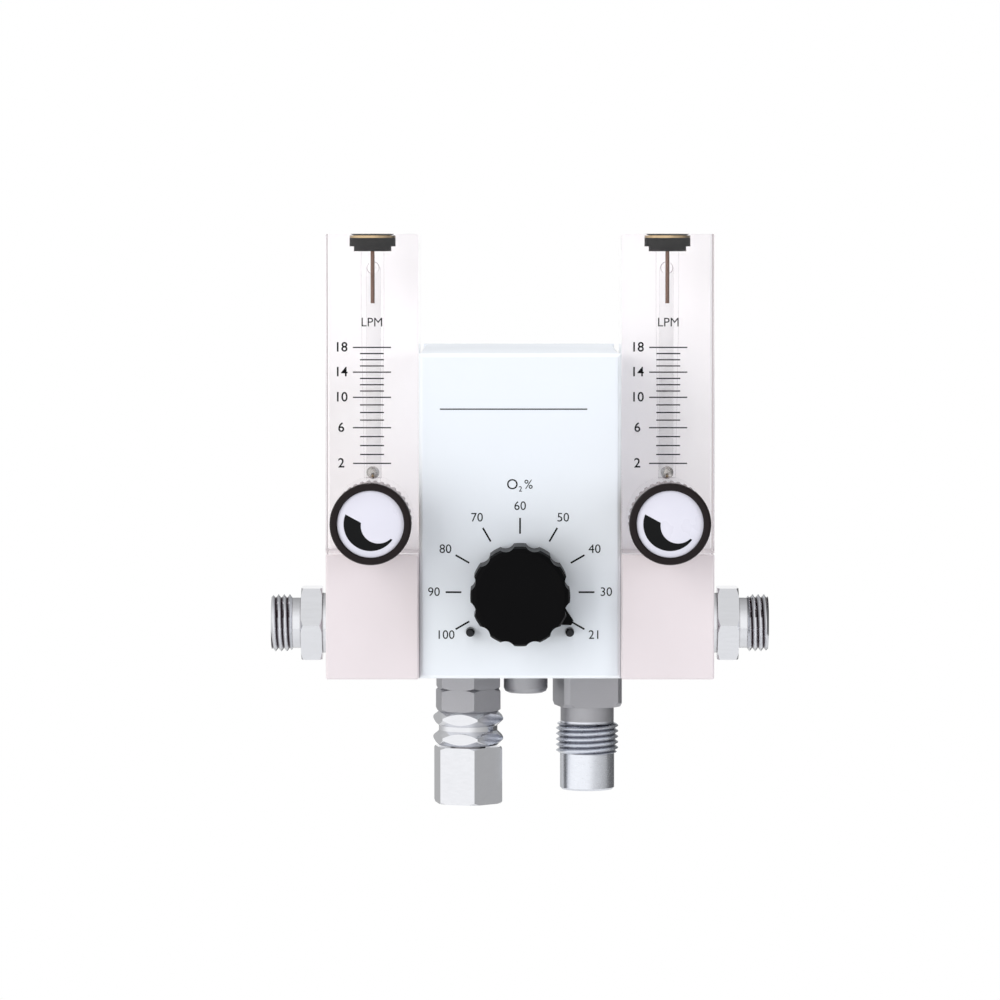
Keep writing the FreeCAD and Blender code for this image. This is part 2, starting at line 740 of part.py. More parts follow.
def make_mixing_knob():
    body = new_body("knob_moulding", "0", knob_back, dial_z, OUTWARD)
    radius = "dim.knob_radius"
    socket = "(dim.shaft_radius + dim.press_fit)"
    turn(body, "knob_blank",
         [("0", "dim.knob_length"), (f"{radius} - dim.knob_edge", "dim.knob_length"),
          (f"{radius} - dim.knob_edge / 3", "dim.knob_length - dim.knob_edge / 3"),
          (radius, "dim.knob_length - dim.knob_edge"), (radius, "0"),
          (socket, "0"), (socket, "dim.knob_length - dim.knob_wall"),
          ("0", "dim.knob_length - dim.knob_wall")])
    centre = "(dim.knob_radius + dim.flute_radius - dim.flute_depth)"
    flute = drill(body, "knob_flute", f"{centre} * cos(180 / {FLUTE_COUNT})",
                  f"{centre} * sin(180 / {FLUTE_COUNT})", "dim.flute_radius",
                  "0", "dim.knob_length")
    round_pattern(body, "knob_flutes", flute, FLUTE_COUNT)
    root = "(dim.knob_radius - dim.pointer_overlap)"
    along = [(root, "-dim.pointer_root_half"), ("dim.pointer_reach", "-dim.pointer_tip_half"),
             ("dim.pointer_reach", "dim.pointer_tip_half"), (root, "dim.pointer_root_half")]
    cosine = "cos(dim.pointer_angle)"
    sine = "sin(dim.pointer_angle)"
    corners = [(f"{x} * {cosine} - ({y}) * {sine}", f"{x} * {sine} + ({y}) * {cosine}")
               for x, y in along]
    pad(body, "pointer", corners, "0", "dim.pointer_thick")
    screw_hole = rod("set_screw_hole", DOWN, "0", f"{knob_back} - dim.set_screw_height",
                     f"{dial_z}", "dim.set_screw_radius + dim.press_fit", "dim.knob_radius")
    keep("mixing_knob", cut("mixing_knob", body, [screw_hole]))
    keep("knob_set_screw", rod("set_screw", DOWN, "0", f"{knob_back} - dim.set_screw_height",
                               f"{dial_z} - dim.shaft_radius", "dim.set_screw_radius",
                               "dim.set_screw_length"))


def make_mixing_shaft():
    body = new_body("shaft_turned", "0", core_front, dial_z, INWARD)
    front = f"({shaft_front} - {core_front})"
    turn(body, "shaft_section",
         [("0", front), ("dim.shaft_radius", front), ("dim.shaft_radius", collar_start),
          ("dim.collar_radius", collar_start), ("dim.collar_radius", lead_start),
          ("dim.lead_radius", lead_start), ("dim.lead_radius", f"{lead_start} + dim.lead_length"),
          ("0", f"{lead_start} + dim.lead_length")])
    keep("mixing_shaft", body)


def make_mixing_valve():
    body = new_body("spindle_turned", "0", core_front, dial_z, INWARD)
    bore = "(dim.lead_radius + dim.lead_fit)"
    turn(body, "spindle_section",
         [(bore, hub_start), ("dim.spindle_hub_radius", hub_start),
          ("dim.spindle_hub_radius", hub_end), ("dim.spindle_rod_radius", hub_end),
          ("dim.spindle_rod_radius", head_start), ("dim.mixing_seat_bore", head_start),
          ("dim.valve_head_radius", f"{head_start} + dim.valve_head_length / 4"),
          ("dim.valve_head_radius", f"{head_end} - dim.valve_head_length / 4"),
          ("dim.mixing_seat_bore", head_end), ("dim.spindle_rod_radius", head_end),
          ("dim.spindle_rod_radius", spring_collar), ("dim.spring_collar_radius", spring_collar),
          ("dim.spring_collar_radius", spring_start), ("0", spring_start),
          ("0", f"{lead_start} + dim.lead_length + dim.running_gap"),
          (bore, f"{lead_start} + dim.lead_length + dim.running_gap")])
    keep("mixing_spindle", body)
    seats = []
    for start, end, name in ((seat_start, seat_end, "front"), (second_seat, second_end, "rear")):
        seat = new_body(f"seat_{name}", "0", core_front, dial_z, INWARD)
        outer = "(dim.chamber_radius - dim.press_fit)"
        turn(seat, f"seat_section_{name}", [("dim.mixing_seat_bore", start), (outer, start),
                                            (outer, end), ("dim.mixing_seat_bore", end)])
        seats.append(seat)
    keep("mixing_seats", group("mixing_seat_set", seats))
    keep("mixing_spring", coil("mixing_spring", INWARD, "0",
                               f"{core_front} + {spring_start} + dim.spring_gap", dial_z,
                               "dim.spring_collar_radius - dim.spring_wire",
                               "dim.mixing_spring_length - 2 * dim.spring_gap"))


balance_back = f"({core_back} - dim.cover_thick - dim.running_gap)"
balance_front = f"({balance_back} - dim.balance_depth)"
balance_half = "(dim.balance_width / 2)"
balance_y = f"({balance_back} - dim.balance_setback)"
balance_z = f"(({manifold_top} + {balance_top}) / 2)"
balance_height = f"({balance_top} - {manifold_top})"


def balance_screw_places():
    return [(f"({balance_y} - dim.balance_screw_spacing / 2)", "front"),
            (f"({balance_y} + dim.balance_screw_spacing / 2)", "rear")]


def make_balance_module():
    base = block("balance_bar", (f"-{balance_half}", balance_half), (balance_front, balance_back),
                 (manifold_top, balance_top))
    tools = [rod("spool_bore", RIGHT, f"-{balance_half} - 1", balance_y, balance_z,
                 "dim.spool_radius + dim.shaft_fit", f"2 * {balance_half} + 2")]
    for side, direction, name in (("-", RIGHT, "left"), ("", LEFT, "right")):
        tools.append(rod(f"balance_chamber_{name}", direction, side + balance_half, balance_y, balance_z,
                         "dim.balance_chamber_radius", "dim.balance_chamber_depth"))
    for offset, name in ((oxygen_x, "oxygen"), (air_x, "air")):
        tools.append(rod(f"balance_riser_{name}", UP, offset, inlet_y, manifold_top,
                         "dim.passage_radius", f"{balance_height} / 2"))
        tools.append(rod(f"balance_cross_{name}", INWARD, offset, inlet_y, balance_z,
                         "dim.cross_radius", f"{balance_y} - {inlet_y}"))
    for y, name in balance_screw_places():
        tools.append(rod(f"balance_hole_{name}", UP, "0", y, manifold_top,
                         "dim.balance_screw_radius + dim.screw_fit", balance_height))
    tools.append(rod("bracket_thread_high", OUTWARD, "0", core_back, "dim.bracket_screw_spacing / 2",
                     "dim.bracket_screw_radius + dim.thread_fit", bracket_thread))
    keep("balance_body", cut("balance_housing", base, tools))
    covers = [rod(f"balance_cover_{name}", direction, side + balance_half, balance_y, balance_z,
                  "dim.balance_cover_radius", "dim.balance_cover_thick")
              for side, direction, name in (("-", LEFT, "left"), ("", RIGHT, "right"))]
    keep("balance_covers", group("balance_cover_set", covers))
    screws = []
    for y, name in balance_screw_places():
        head = rod(f"balance_head_{name}", UP, "0", y, balance_top, "dim.balance_head_radius",
                   "dim.balance_head_height")
        shank = rod(f"balance_shank_{name}", DOWN, "0", y, balance_top, "dim.balance_screw_radius",
                    f"{balance_height} + dim.balance_screw_depth")
        screws.append(fused(f"balance_screw_{name}", [head, shank]))
    keep("balance_screws", group("balance_screw_set", screws))


def make_balance_spool():
    body = new_body("spool_turned", "0", balance_y, balance_z, RIGHT)
    land = f"({balance_half} - dim.balance_chamber_depth + dim.spool_travel + dim.running_gap)"
    end = f"({land} + dim.spool_head_thick)"
    turn(body, "spool_section",
         [("0", f"-{end}"), ("dim.spool_head_radius", f"-{end}"), ("dim.spool_head_radius", f"-{land}"),
          ("dim.spool_radius", f"-{land}"), ("dim.spool_radius", land),
          ("dim.spool_head_radius", land), ("dim.spool_head_radius", end), ("0", end)])
    keep("balance_spool", body)


def make_rear():
    plate = block("plate_blank", (f"-{half_width}", half_width), (core_back, plate_back), (bottom, top))
    tools = []
    for number, (x, z) in enumerate(corner_screws):
        tools += flat_screw_hole(f"plate_screw_{number}", OUTWARD, x, plate_back, z,
                                 "dim.rear_plate_thick")
    for side in ("-", ""):
        name = "low" if side == "-" else "high"
        tools.append(rod(f"plate_bracket_hole_{name}", OUTWARD, "0", plate_back,
                         f"{side}dim.bracket_screw_spacing / 2",
                         "dim.bracket_screw_radius + dim.screw_fit", "dim.rear_plate_thick"))
    keep("rear_plate", cut("plate", plate, tools))
    screws = [flat_screw(f"rear_screw_{number}", OUTWARD, x, plate_back, z)
              for number, (x, z) in enumerate(corner_screws)]
    keep("rear_screws", group("rear_screw_set", screws))


def make_bracket():
    half = "(dim.bracket_height / 2)"
    body = new_body("bracket_body", "0", "0", f"-{half}", UP)
    wide = "(dim.bracket_wide / 2)"
    narrow = "(dim.bracket_narrow / 2)"
    pad(body, "dovetail",
        [(f"-{wide}", "0"), (f"-{narrow}", plate_back), (narrow, plate_back), (wide, "0")],
        "0", "dim.bracket_height")
    tools = []
    for side, name in (("-", "low"), ("", "high")):
        tools += flat_screw_hole(f"bracket_screw_{name}", OUTWARD, "0", "0",
                                 f"{side}dim.bracket_screw_spacing / 2", "dim.bracket_depth",
                                 "bracket_screw")
    keep("mount_bracket", cut("bracket", body, tools))
    screws = [flat_screw(f"dovetail_screw_{name}", OUTWARD, "0", "0",
                         f"{side}dim.bracket_screw_spacing / 2", "bracket_screw")
              for side, name in (("-", "low"), ("", "high"))]
    keep("bracket_screws", group("bracket_screw_set", screws))


# Depths below the manifold of the oxygen inlet's pieces
adapter_end = "(dim.collar_height + dim.adapter_height)"
rib_end = f"({adapter_end} + dim.rib_height)"
neck_end = f"({rib_end} + dim.rib_neck_height)"
check_end = f"({neck_end} + dim.rib_height)"
nut_start = f"({check_end} + dim.nut_gap)"
nut_end = f"({nut_start} + dim.nut_length)"
tail_flange = f"({nut_start} + dim.nut_flange_thick + dim.nut_gap)"
tail_nose = f"({tail_flange} + dim.tail_flange_thick)"
tail_end = f"({tail_nose} + dim.tail_nose_length)"


def hexagon(body, name, flats, turned_by, low, length, bevel, rise="dim.hex_rise"):
    pad(body, name, polygon(6, flats, turned_by), low, length)
    turn_corners(body, name + "_bevel", flats, bevel, rise, low, f"({low} + {length})")


def make_oxygen_inlet():
    x = oxygen_x
    body = new_body("adapter_turned", x, inlet_y, bottom, DOWN)
    stub = "-dim.stub_length"
    hexagon(body, "adapter_collar", "dim.collar_flats", "-dim.adapter_turn", "0",
            "dim.collar_height", "dim.hex_bevel")
    hexagon(body, "adapter_hexagon", "dim.adapter_flats", "-dim.adapter_turn", "dim.collar_height",
            "dim.adapter_height", "dim.hex_bevel")
    turn(body, "adapter_stub", [("0", stub), ("dim.stub_radius", stub),
                                ("dim.stub_radius", "dim.hex_bevel"), ("0", "dim.hex_bevel")])
    drill(body, "adapter_bore", "0", "0", "dim.inlet_chamber_radius", stub,
          f"dim.stub_length + {adapter_end}")
    drill(body, "adapter_socket", "0", "0", "dim.check_stub_radius + dim.thread_fit",
          f"{adapter_end} - dim.check_stub_length", "dim.check_stub_length")
    keep("oxygen_adapter", body)

    check = new_body("check_turned", x, inlet_y, bottom, DOWN)
    rise = "(dim.rib_height - dim.rib_land) / 2"
    hexagon(check, "upper_rib", "dim.rib_flats", "-dim.rib_turn", adapter_end, "dim.rib_height",
            "dim.rib_bevel", rise)
    hexagon(check, "lower_rib", "dim.rib_flats", "-dim.rib_turn", neck_end, "dim.rib_height",
            "dim.rib_bevel", rise)
    turn(check, "check_core",
         [("0", f"{adapter_end} - dim.check_stub_length"),
          ("dim.check_stub_radius", f"{adapter_end} - dim.check_stub_length"),
          ("dim.check_stub_radius", adapter_end), ("dim.rib_neck_radius", adapter_end),
          ("dim.rib_neck_radius", check_end), ("dim.tail_radius", check_end),
          ("dim.tail_radius", tail_flange), ("dim.tail_flange_radius", tail_flange),
          ("dim.tail_flange_radius", tail_nose), ("dim.tail_nose_radius", tail_nose),
          ("dim.inlet_mouth_radius + 0.5", tail_end), ("0", tail_end)])
    drill(check, "check_mouth", "0", "0", "dim.inlet_mouth_radius",
          f"{adapter_end} - dim.check_stub_length", f"{tail_end} - ({adapter_end} - dim.check_stub_length)")
    drill(check, "check_chamber", "0", "0", "dim.inlet_chamber_radius",
          f"{adapter_end} - dim.check_stub_length", f"{check_end} - {adapter_end} + dim.check_stub_length")
    keep("oxygen_check_body", check)

    nut = new_body("nut_turned", x, inlet_y, bottom, DOWN)
    hexagon(nut, "nut_hexagon", "dim.nut_flats", "-dim.nut_turn", nut_start, "dim.nut_length",
            "dim.nut_bevel")
    drill(nut, "nut_hole", "0", "0", "dim.tail_radius + dim.tail_fit", nut_start,
          "dim.nut_flange_thick")
    drill(nut, "nut_relief", "0", "0", "dim.nut_relief_radius", f"{nut_start} + dim.nut_flange_thick",
          "dim.nut_length - dim.nut_flange_thick - dim.nut_thread_length")
    drill(nut, "nut_thread", "0", "0", "dim.nut_thread_radius", f"{nut_end} - dim.nut_thread_length",
          "dim.nut_thread_length")
    keep("oxygen_nut", nut)
    make_check_insert("oxygen", x, check_end)


def make_check_insert(name, x, seat):
    # filter cup at the top of the stub, poppet on its seat and the spring between them
    poppet = new_body(f"{name}_poppet_turned", x, inlet_y, f"{bottom} + dim.thread_fit", DOWN)
    radius = "(dim.inlet_chamber_radius - dim.poppet_fit)"
    top_face = f"({seat} - dim.poppet_length)"
    turn(poppet, f"{name}_poppet_section",
         [("0", seat), ("dim.inlet_mouth_radius", seat), (radius, f"{seat} - dim.poppet_wall"),
          (radius, top_face), ("dim.poppet_bore", top_face),
          ("dim.poppet_bore", f"{seat} - dim.poppet_wall"), ("0", f"{seat} - dim.poppet_wall")])
    keep(f"{name}_poppet", poppet)
    sieve = new_body(f"{name}_filter_turned", x, inlet_y, bottom, DOWN)
    outer = "(dim.inlet_chamber_radius - dim.filter_fit)"
    inner = f"({outer} - dim.filter_wall)"
    start = "-dim.stub_length"
    end = f"({start} + dim.filter_length)"
    turn(sieve, f"{name}_filter_section",
         [("0", start), (outer, start), (outer, end), (inner, end),
          (inner, f"{start} + dim.filter_wall"), ("0", f"{start} + dim.filter_wall")])
    keep(f"{name}_filter", sieve)
    length = f"({top_face} - {end} - 2 * dim.spring_gap)"
    keep(f"{name}_spring", coil(f"{name}_spring", DOWN, x, inlet_y, f"{bottom} - ({end}) - dim.spring_gap",
                                "dim.inlet_chamber_radius - dim.filter_wall", length))


def make_air_inlet():
    block_end = "dim.air_block_height"
    neck = f"({block_end} + dim.air_neck_height)"
    thread = f"({neck} + dim.air_thread_length)"
    nose = f"({thread} + dim.air_nose_length)"
    body = new_body("air_inlet_turned", air_x, inlet_y, bottom, DOWN)
    pad(body, "air_square", polygon(4, "dim.air_block_side", "-90 - dim.air_block_turn"), "0",
        "dim.air_block_height")
    clear = "(dim.air_block_side)"
    groove(body, "air_corners", [("dim.air_block_corner", "0"), (clear, "0"), (clear, block_end),
                                 ("dim.air_block_corner - dim.air_bevel", block_end),
                                 ("dim.air_block_corner", f"{block_end} - dim.air_bevel")])
    bevel = "dim.air_bevel / 2"
    turn(body, "air_stem",
         [("0", "-dim.stub_length"), ("dim.stub_radius", "-dim.stub_length"),
          ("dim.stub_radius", "0"), ("dim.air_neck_radius", "0"), ("dim.air_neck_radius", neck),
          (f"dim.air_thread_radius - {bevel}", neck),
          ("dim.air_thread_radius", f"{neck} + {bevel}"),
          ("dim.air_thread_radius", f"{thread} - {bevel}"),
          (f"dim.air_thread_radius - {bevel}", thread), ("dim.air_nose_radius", thread),
          ("dim.air_nose_radius", f"{nose} - {bevel}"),
          (f"dim.air_nose_radius - {bevel}", nose), ("0", nose)])
    drill(body, "air_passage", "0", "0", "dim.inlet_mouth_radius", "-dim.stub_length",
          f"dim.stub_length + {nose}")
    drill(body, "air_chamber", "0", "0", "dim.inlet_chamber_radius", "-dim.stub_length",
          "dim.stub_length + dim.air_seat_height")
    drill(body, "air_mouth", "0", "0", "dim.air_mouth_radius", f"{nose} - dim.air_mouth_depth",
          "dim.air_mouth_depth")
    keep("air_inlet", body)
    make_check_insert("air", air_x, "dim.air_seat_height")


def make_alarm_cap():
    body = new_body("alarm_turned", "dim.alarm_offset", inlet_y, bottom, DOWN)
    stub = "-dim.alarm_stub_length"
    edge = "dim.alarm_cap_edge"
    turn(body, "alarm_section",
         [("dim.alarm_port_radius", stub), ("dim.alarm_stub_radius", stub),
          ("dim.alarm_stub_radius", "0"), ("dim.alarm_cap_radius", "0"),
          ("dim.alarm_cap_radius", f"dim.alarm_cap_height - {edge}"),
          (f"dim.alarm_cap_radius - {edge} / 3", f"dim.alarm_cap_height - {edge} / 3"),
          (f"dim.alarm_cap_radius - {edge}", "dim.alarm_cap_height"),
          ("dim.alarm_port_radius", "dim.alarm_cap_height")])
    keep("alarm_cap", body)


class Side:
    """One flowmeter: its name and its places along X."""

    def __init__(self, name, sign, away, towards):
        self.name = name
        self.axis = f"({sign}{meter_axis})"
        self.inner = f"({sign}{half_width})"
        self.outer = f"({sign}{meter_outer})"
        self.core = f"({sign}{core_half})"
        self.span = (self.outer, self.inner) if sign == "-" else (self.inner, self.outer)
        self.away = away
        self.towards = towards

    def label(self, name):
        return f"{self.name}_{name}"


SIDES = [Side("left", "-", LEFT, RIGHT), Side("right", "", RIGHT, LEFT)]


def edged_block(name, x, y, z, radius):
    blank = block(name + "_blank", x, y, z)
    edges = doc.addObject("Part::Chamfer", name + "_edges")
    edges.Base = blank
    doc.recompute()
    size = value(radius)
    edges.Edges = [(number + 1, size, size) for number in range(len(blank.Shape.Edges))]
    return edges


def make_meter_base(side):
    base = edged_block(side.label("base"), side.span, (meter_face, meter_back), (bottom, base_top),
                       "dim.meter_edge")
    half = "dim.meter_width / 2"
    tools = [
        rod(side.label("nipple_bore"), side.away, side.inner, feed_y, dial_z,
            "dim.nipple_radius + dim.thread_fit", "dim.nipple_half_length"),
        rod(side.label("feed_cross"), side.away, side.inner, feed_y, dial_z, "dim.cross_radius", half),
        rod(side.label("feed_riser"), UP, side.axis, feed_y, dial_z, "dim.channel_radius",
            f"{base_top} - {dial_z}"),
        rod(side.label("return_drop"), DOWN, side.axis, return_y, base_top, "dim.channel_radius",
            f"{base_top} - {outlet_z}"),
        rod(side.label("return_cross"), OUTWARD, side.axis, return_y, outlet_z, "dim.cross_radius",
            f"{return_y} - {outlet_y}"),
        rod(side.label("outlet_thread"), side.towards, side.outer, outlet_y, outlet_z,
            "dim.outlet_stub_radius + dim.thread_fit", "dim.outlet_stub_length"),
        rod(side.label("outlet_cross"), side.towards, side.outer, outlet_y, outlet_z,
            "dim.outlet_bore_radius", half),
    ]
    for number, (y, z) in enumerate(meter_screw_places()):
        tools.append(rod(side.label(f"screw_hole_{number}"), side.towards, side.outer, y, z,
                         "dim.screw_radius + dim.screw_fit", "dim.meter_width"))
        tools.append(rod(side.label(f"counterbore_{number}"), side.towards, side.outer, y, z,
                         "dim.meter_screw_head_radius + dim.screw_fit", "dim.meter_screw_counterbore"))
    for number, (x, z) in enumerate(backing_screw_places(side)):
        tools.append(rod(side.label(f"base_thread_{number}"), OUTWARD, x, meter_back, z,
                         "dim.screw_radius + dim.thread_fit", "dim.backing_screw_length"))
    keep(side.label("meter_base"), cut(side.label("base"), base, tools))


def backing_screw_places(side):
    places = []
    for height in ("low", "high"):
        for sign in ("-", "+"):
            x = f"({side.axis} {sign} dim.backing_screw_offset)"
            places.append((x, f"({bottom} + dim.backing_screw_{height})"))
    return places


def make_meter_tube(side):
    base = edged_block(side.label("tube"), side.span, (meter_face, meter_back), (base_top, tube_top),
                       "dim.meter_edge")
    taper_z = f"({bottom} + dim.taper_low)"
    taper_end = f"({bottom} + dim.taper_high)"
    rim = "(dim.plug_rim_thick + dim.plug_seal_height + dim.plug_fit)"
    plug = f"({rim} + dim.seal_skirt_height + dim.plug_fit)"
    port_z = f"({tube_top} - dim.return_port_drop)"
    tools = [
        cone(side.label("taper"), UP, side.axis, bore_y, taper_z, "dim.taper_low_radius",
             "dim.taper_high_radius", "dim.taper_high - dim.taper_low"),
        rod(side.label("bore_top"), UP, side.axis, bore_y, taper_end, "dim.taper_high_radius",
            f"{tube_top} - {taper_end}"),
        rod(side.label("plug_bore"), DOWN, side.axis, bore_y, tube_top,
            "dim.seal_skirt_radius + dim.plug_fit", plug),
        rod(side.label("plug_mouth"), DOWN, side.axis, bore_y, tube_top,
            "dim.plug_seal_radius + dim.plug_fit", rim),
        rod(side.label("float_port"), UP, side.axis, bore_y, valve_z, "dim.float_port_radius",
            f"{taper_z} - {valve_z}"),
        rod(side.label("bush_pocket"), INWARD, side.axis, meter_face, valve_z,
            "dim.flow_bush_radius + dim.thread_fit", "dim.flow_bush_depth"),
        rod(side.label("valve_room"), INWARD, side.axis, meter_face, valve_z, "dim.valve_room_radius",
            "dim.flow_bush_depth + dim.valve_room_depth"),
        rod(side.label("needle_seat"), INWARD, side.axis, meter_face, valve_z,
            "dim.needle_seat_radius", f"{feed_y} - {meter_face}"),
        rod(side.label("tube_feed"), UP, side.axis, feed_y, base_top, "dim.channel_radius",
            f"{valve_z} - {base_top}"),
        rod(side.label("return_port"), INWARD, side.axis, bore_y, port_z, "dim.cross_radius",
            f"{return_y} - {bore_y}"),
        rod(side.label("return_channel"), UP, side.axis, return_y, base_top, "dim.channel_radius",
            f"{port_z} - {base_top}"),
    ]
    keep(side.label("meter_tube"), cut(side.label("tube"), base, tools))


def make_meter_float(side):
    ball = doc.addObject("Part::Sphere", side.label("ball"))
    bind(ball, "Radius", "dim.float_radius")
    place(ball, side.axis, bore_y, f"{bottom} + dim.taper_low + dim.float_lift", UP)
    keep(side.label("float_ball"), ball)


def make_tube_plugs():
    plugs = []
    seals = []
    rods = []
    step = "(dim.plug_rim_thick + dim.plug_seal_height)"
    end = f"({step} + dim.seal_skirt_height)"
    for side in SIDES:
        body = new_body(side.label("plug"), side.axis, bore_y, tube_top, DOWN)
        rod_hole = "(dim.stop_rod_radius + dim.press_fit)"
        turn(body, side.label("plug_section"),
             [("0", "0"), ("dim.plug_rim_radius", "0"), ("dim.plug_rim_radius", "dim.plug_rim_thick"),
              ("dim.plug_spigot_radius", "dim.plug_rim_thick"), ("dim.plug_spigot_radius", end),
              (rod_hole, end), (rod_hole, step), ("0", step)])
        slot_half = "(dim.plug_slot_width / 2)"
        reach = "(dim.plug_rim_radius + 1)"
        pad(body, side.label("plug_slot"),
            [(f"-{reach}", f"-{slot_half}"), (reach, f"-{slot_half}"), (reach, slot_half),
             (f"-{reach}", slot_half)], "0", "dim.plug_slot_depth", "PartDesign::Pocket")
        plugs.append(body)
        seal = new_body(side.label("seal"), side.axis, bore_y, tube_top, DOWN)
        inner = "(dim.plug_spigot_radius + dim.press_fit)"
        outer = "dim.plug_seal_radius"
        low = "(dim.plug_rim_thick + dim.press_fit)"
        turn(seal, side.label("seal_section"),
             [(inner, low), (outer, low), (outer, step), ("dim.seal_skirt_radius", step),
              ("dim.seal_skirt_radius", end), (inner, end)])
        seals.append(seal)
        rods.append(rod(side.label("rod"), DOWN, side.axis, bore_y, f"{tube_top} - {step}",
                        "dim.stop_rod_radius", f"dim.stop_rod_drop - {step}"))
    keep("tube_plugs", group("tube_plug_set", plugs))
    keep("plug_seals", group("plug_seal_set", seals))
    keep("stop_rods", group("stop_rod_set", rods))


stem_groove = "(dim.stem_radius - dim.stem_groove)"
stem_seal = "(dim.flow_bush_depth - dim.stem_seal_section - dim.seal_gap)"


def make_flow_bushes():
    bushes = []
    inner = "(dim.stem_radius + dim.stem_fit)"
    gland = f"({stem_groove} + 2 * dim.stem_seal_section + 2 * dim.stem_fit)"
    gland_end = "(dim.flow_bush_depth - 2 * dim.stem_seal_section - dim.flow_travel - 2 * dim.seal_gap)"
    for side in SIDES:
        body = new_body(side.label("flow_bush"), side.axis, meter_face, valve_z, INWARD)
        turn(body, side.label("flow_bush_section"),
             [(inner, "-dim.flow_flange_thick"), ("dim.flow_flange_radius", "-dim.flow_flange_thick"),
              ("dim.flow_flange_radius", "0"), ("dim.flow_bush_radius", "0"),
              ("dim.flow_bush_radius", "dim.flow_bush_depth"), (gland, "dim.flow_bush_depth"),
              (gland, gland_end), (inner, gland_end)])
        bushes.append(body)
    keep("valve_bushes", group("valve_bush_set", bushes))


def make_flow_control(side):
    # stem and needle, seal, knob skirt, front ring and domed face, shut at rest
    rear = "(dim.flow_flange_thick + dim.flow_knob_gap)"
    front = f"({rear} + dim.flow_knob_length)"
    stem = new_body(side.label("stem"), side.axis, meter_face, valve_z, INWARD)
    shoulder = "(dim.flow_bush_depth + dim.needle_shoulder)"
    seat = "(dim.flow_bush_depth + dim.valve_room_depth)"
    tip = f"({seat} + dim.needle_lead)"
    groove_low = f"({stem_seal} - dim.stem_seal_section - dim.press_fit)"
    groove_high = f"({stem_seal} + dim.stem_seal_section + dim.press_fit)"
    head = f"(-({rear} + dim.flow_bore_depth))"
    turn(stem, side.label("stem_section"),
         [("0", head), ("dim.stem_radius", head), ("dim.stem_radius", groove_low),
          (stem_groove, groove_low), (stem_groove, groove_high), ("dim.stem_radius", groove_high),
          ("dim.stem_radius", shoulder), ("dim.needle_radius", f"({shoulder} + {seat}) / 2"),
          ("dim.needle_radius", seat), ("dim.needle_radius / 3", tip), ("0", tip)])
    keep(side.label("valve_stem"), stem)
    keep(side.label("stem_seal"),
         ring(side.label("seal_ring"), INWARD, side.axis, f"{meter_face} + {stem_seal}", valve_z,
              f"{stem_groove} + dim.stem_fit + dim.stem_seal_section", "dim.stem_seal_section"))

    skirt = new_body(side.label("skirt"), side.axis, meter_face, valve_z, OUTWARD)
    radius = "dim.flow_knob_radius"
    ring_start = f"({front} - dim.ring_thick)"
    socket = "(dim.stem_radius + dim.press_fit)"
    turn(skirt, side.label("skirt_section"),
         [("0", ring_start), (radius, ring_start), (radius, rear),
          ("dim.flow_knob_recess_radius", rear),
          ("dim.flow_knob_recess_radius", f"{rear} + dim.flow_knob_recess"),
          (socket, f"{rear} + dim.flow_knob_recess"),
          (socket, f"{rear} + dim.flow_bore_depth"), ("0", f"{rear} + dim.flow_bore_depth")])
    centre = f"({radius} + dim.knurl_radius - dim.knurl_depth)"
    line = drill(skirt, side.label("knurl"), centre, "0", "dim.knurl_radius", rear,
                 "dim.flow_knob_length - dim.ring_thick")
    round_pattern(skirt, side.label("knurling"), line, KNURL_COUNT)
    keep(side.label("knob_skirt"), skirt)

    bezel = new_body(side.label("ring"), side.axis, meter_face, valve_z, OUTWARD)
    edge = "dim.ring_edge"
    turn(bezel, side.label("ring_section"),
         [("dim.ring_bore", ring_start), ("dim.ring_radius", ring_start),
          ("dim.ring_radius", f"{front} - {edge}"),
          (f"dim.ring_radius - {edge} / 3", f"{front} - {edge} / 3"),
          (f"dim.ring_radius - {edge}", front), (f"dim.ring_bore + {edge} / 2", front),
          ("dim.ring_bore", f"{front} - {edge} / 2")])
    keep(side.label("knob_ring"), bezel)

    radius = "(dim.ring_bore - dim.face_fit)"
    disc = rod(side.label("disc"), OUTWARD, side.axis, f"{meter_face} - {ring_start}", valve_z, radius,
               "dim.face_thick + dim.face_dome")
    crown = doc.addObject("Part::Sphere", side.label("crown"))
    sphere = f"(({radius} ^ 2 + dim.face_dome ^ 2) / (2 * dim.face_dome))"
    bind(crown, "Radius", sphere)
    place(crown, side.axis, f"{meter_face} - {ring_start} - dim.face_thick - dim.face_dome + {sphere}",
          valve_z, UP)
    face = doc.addObject("Part::Common", side.label("face"))
    face.Base = disc
    face.Tool = crown
    keep(side.label("knob_face"), face)


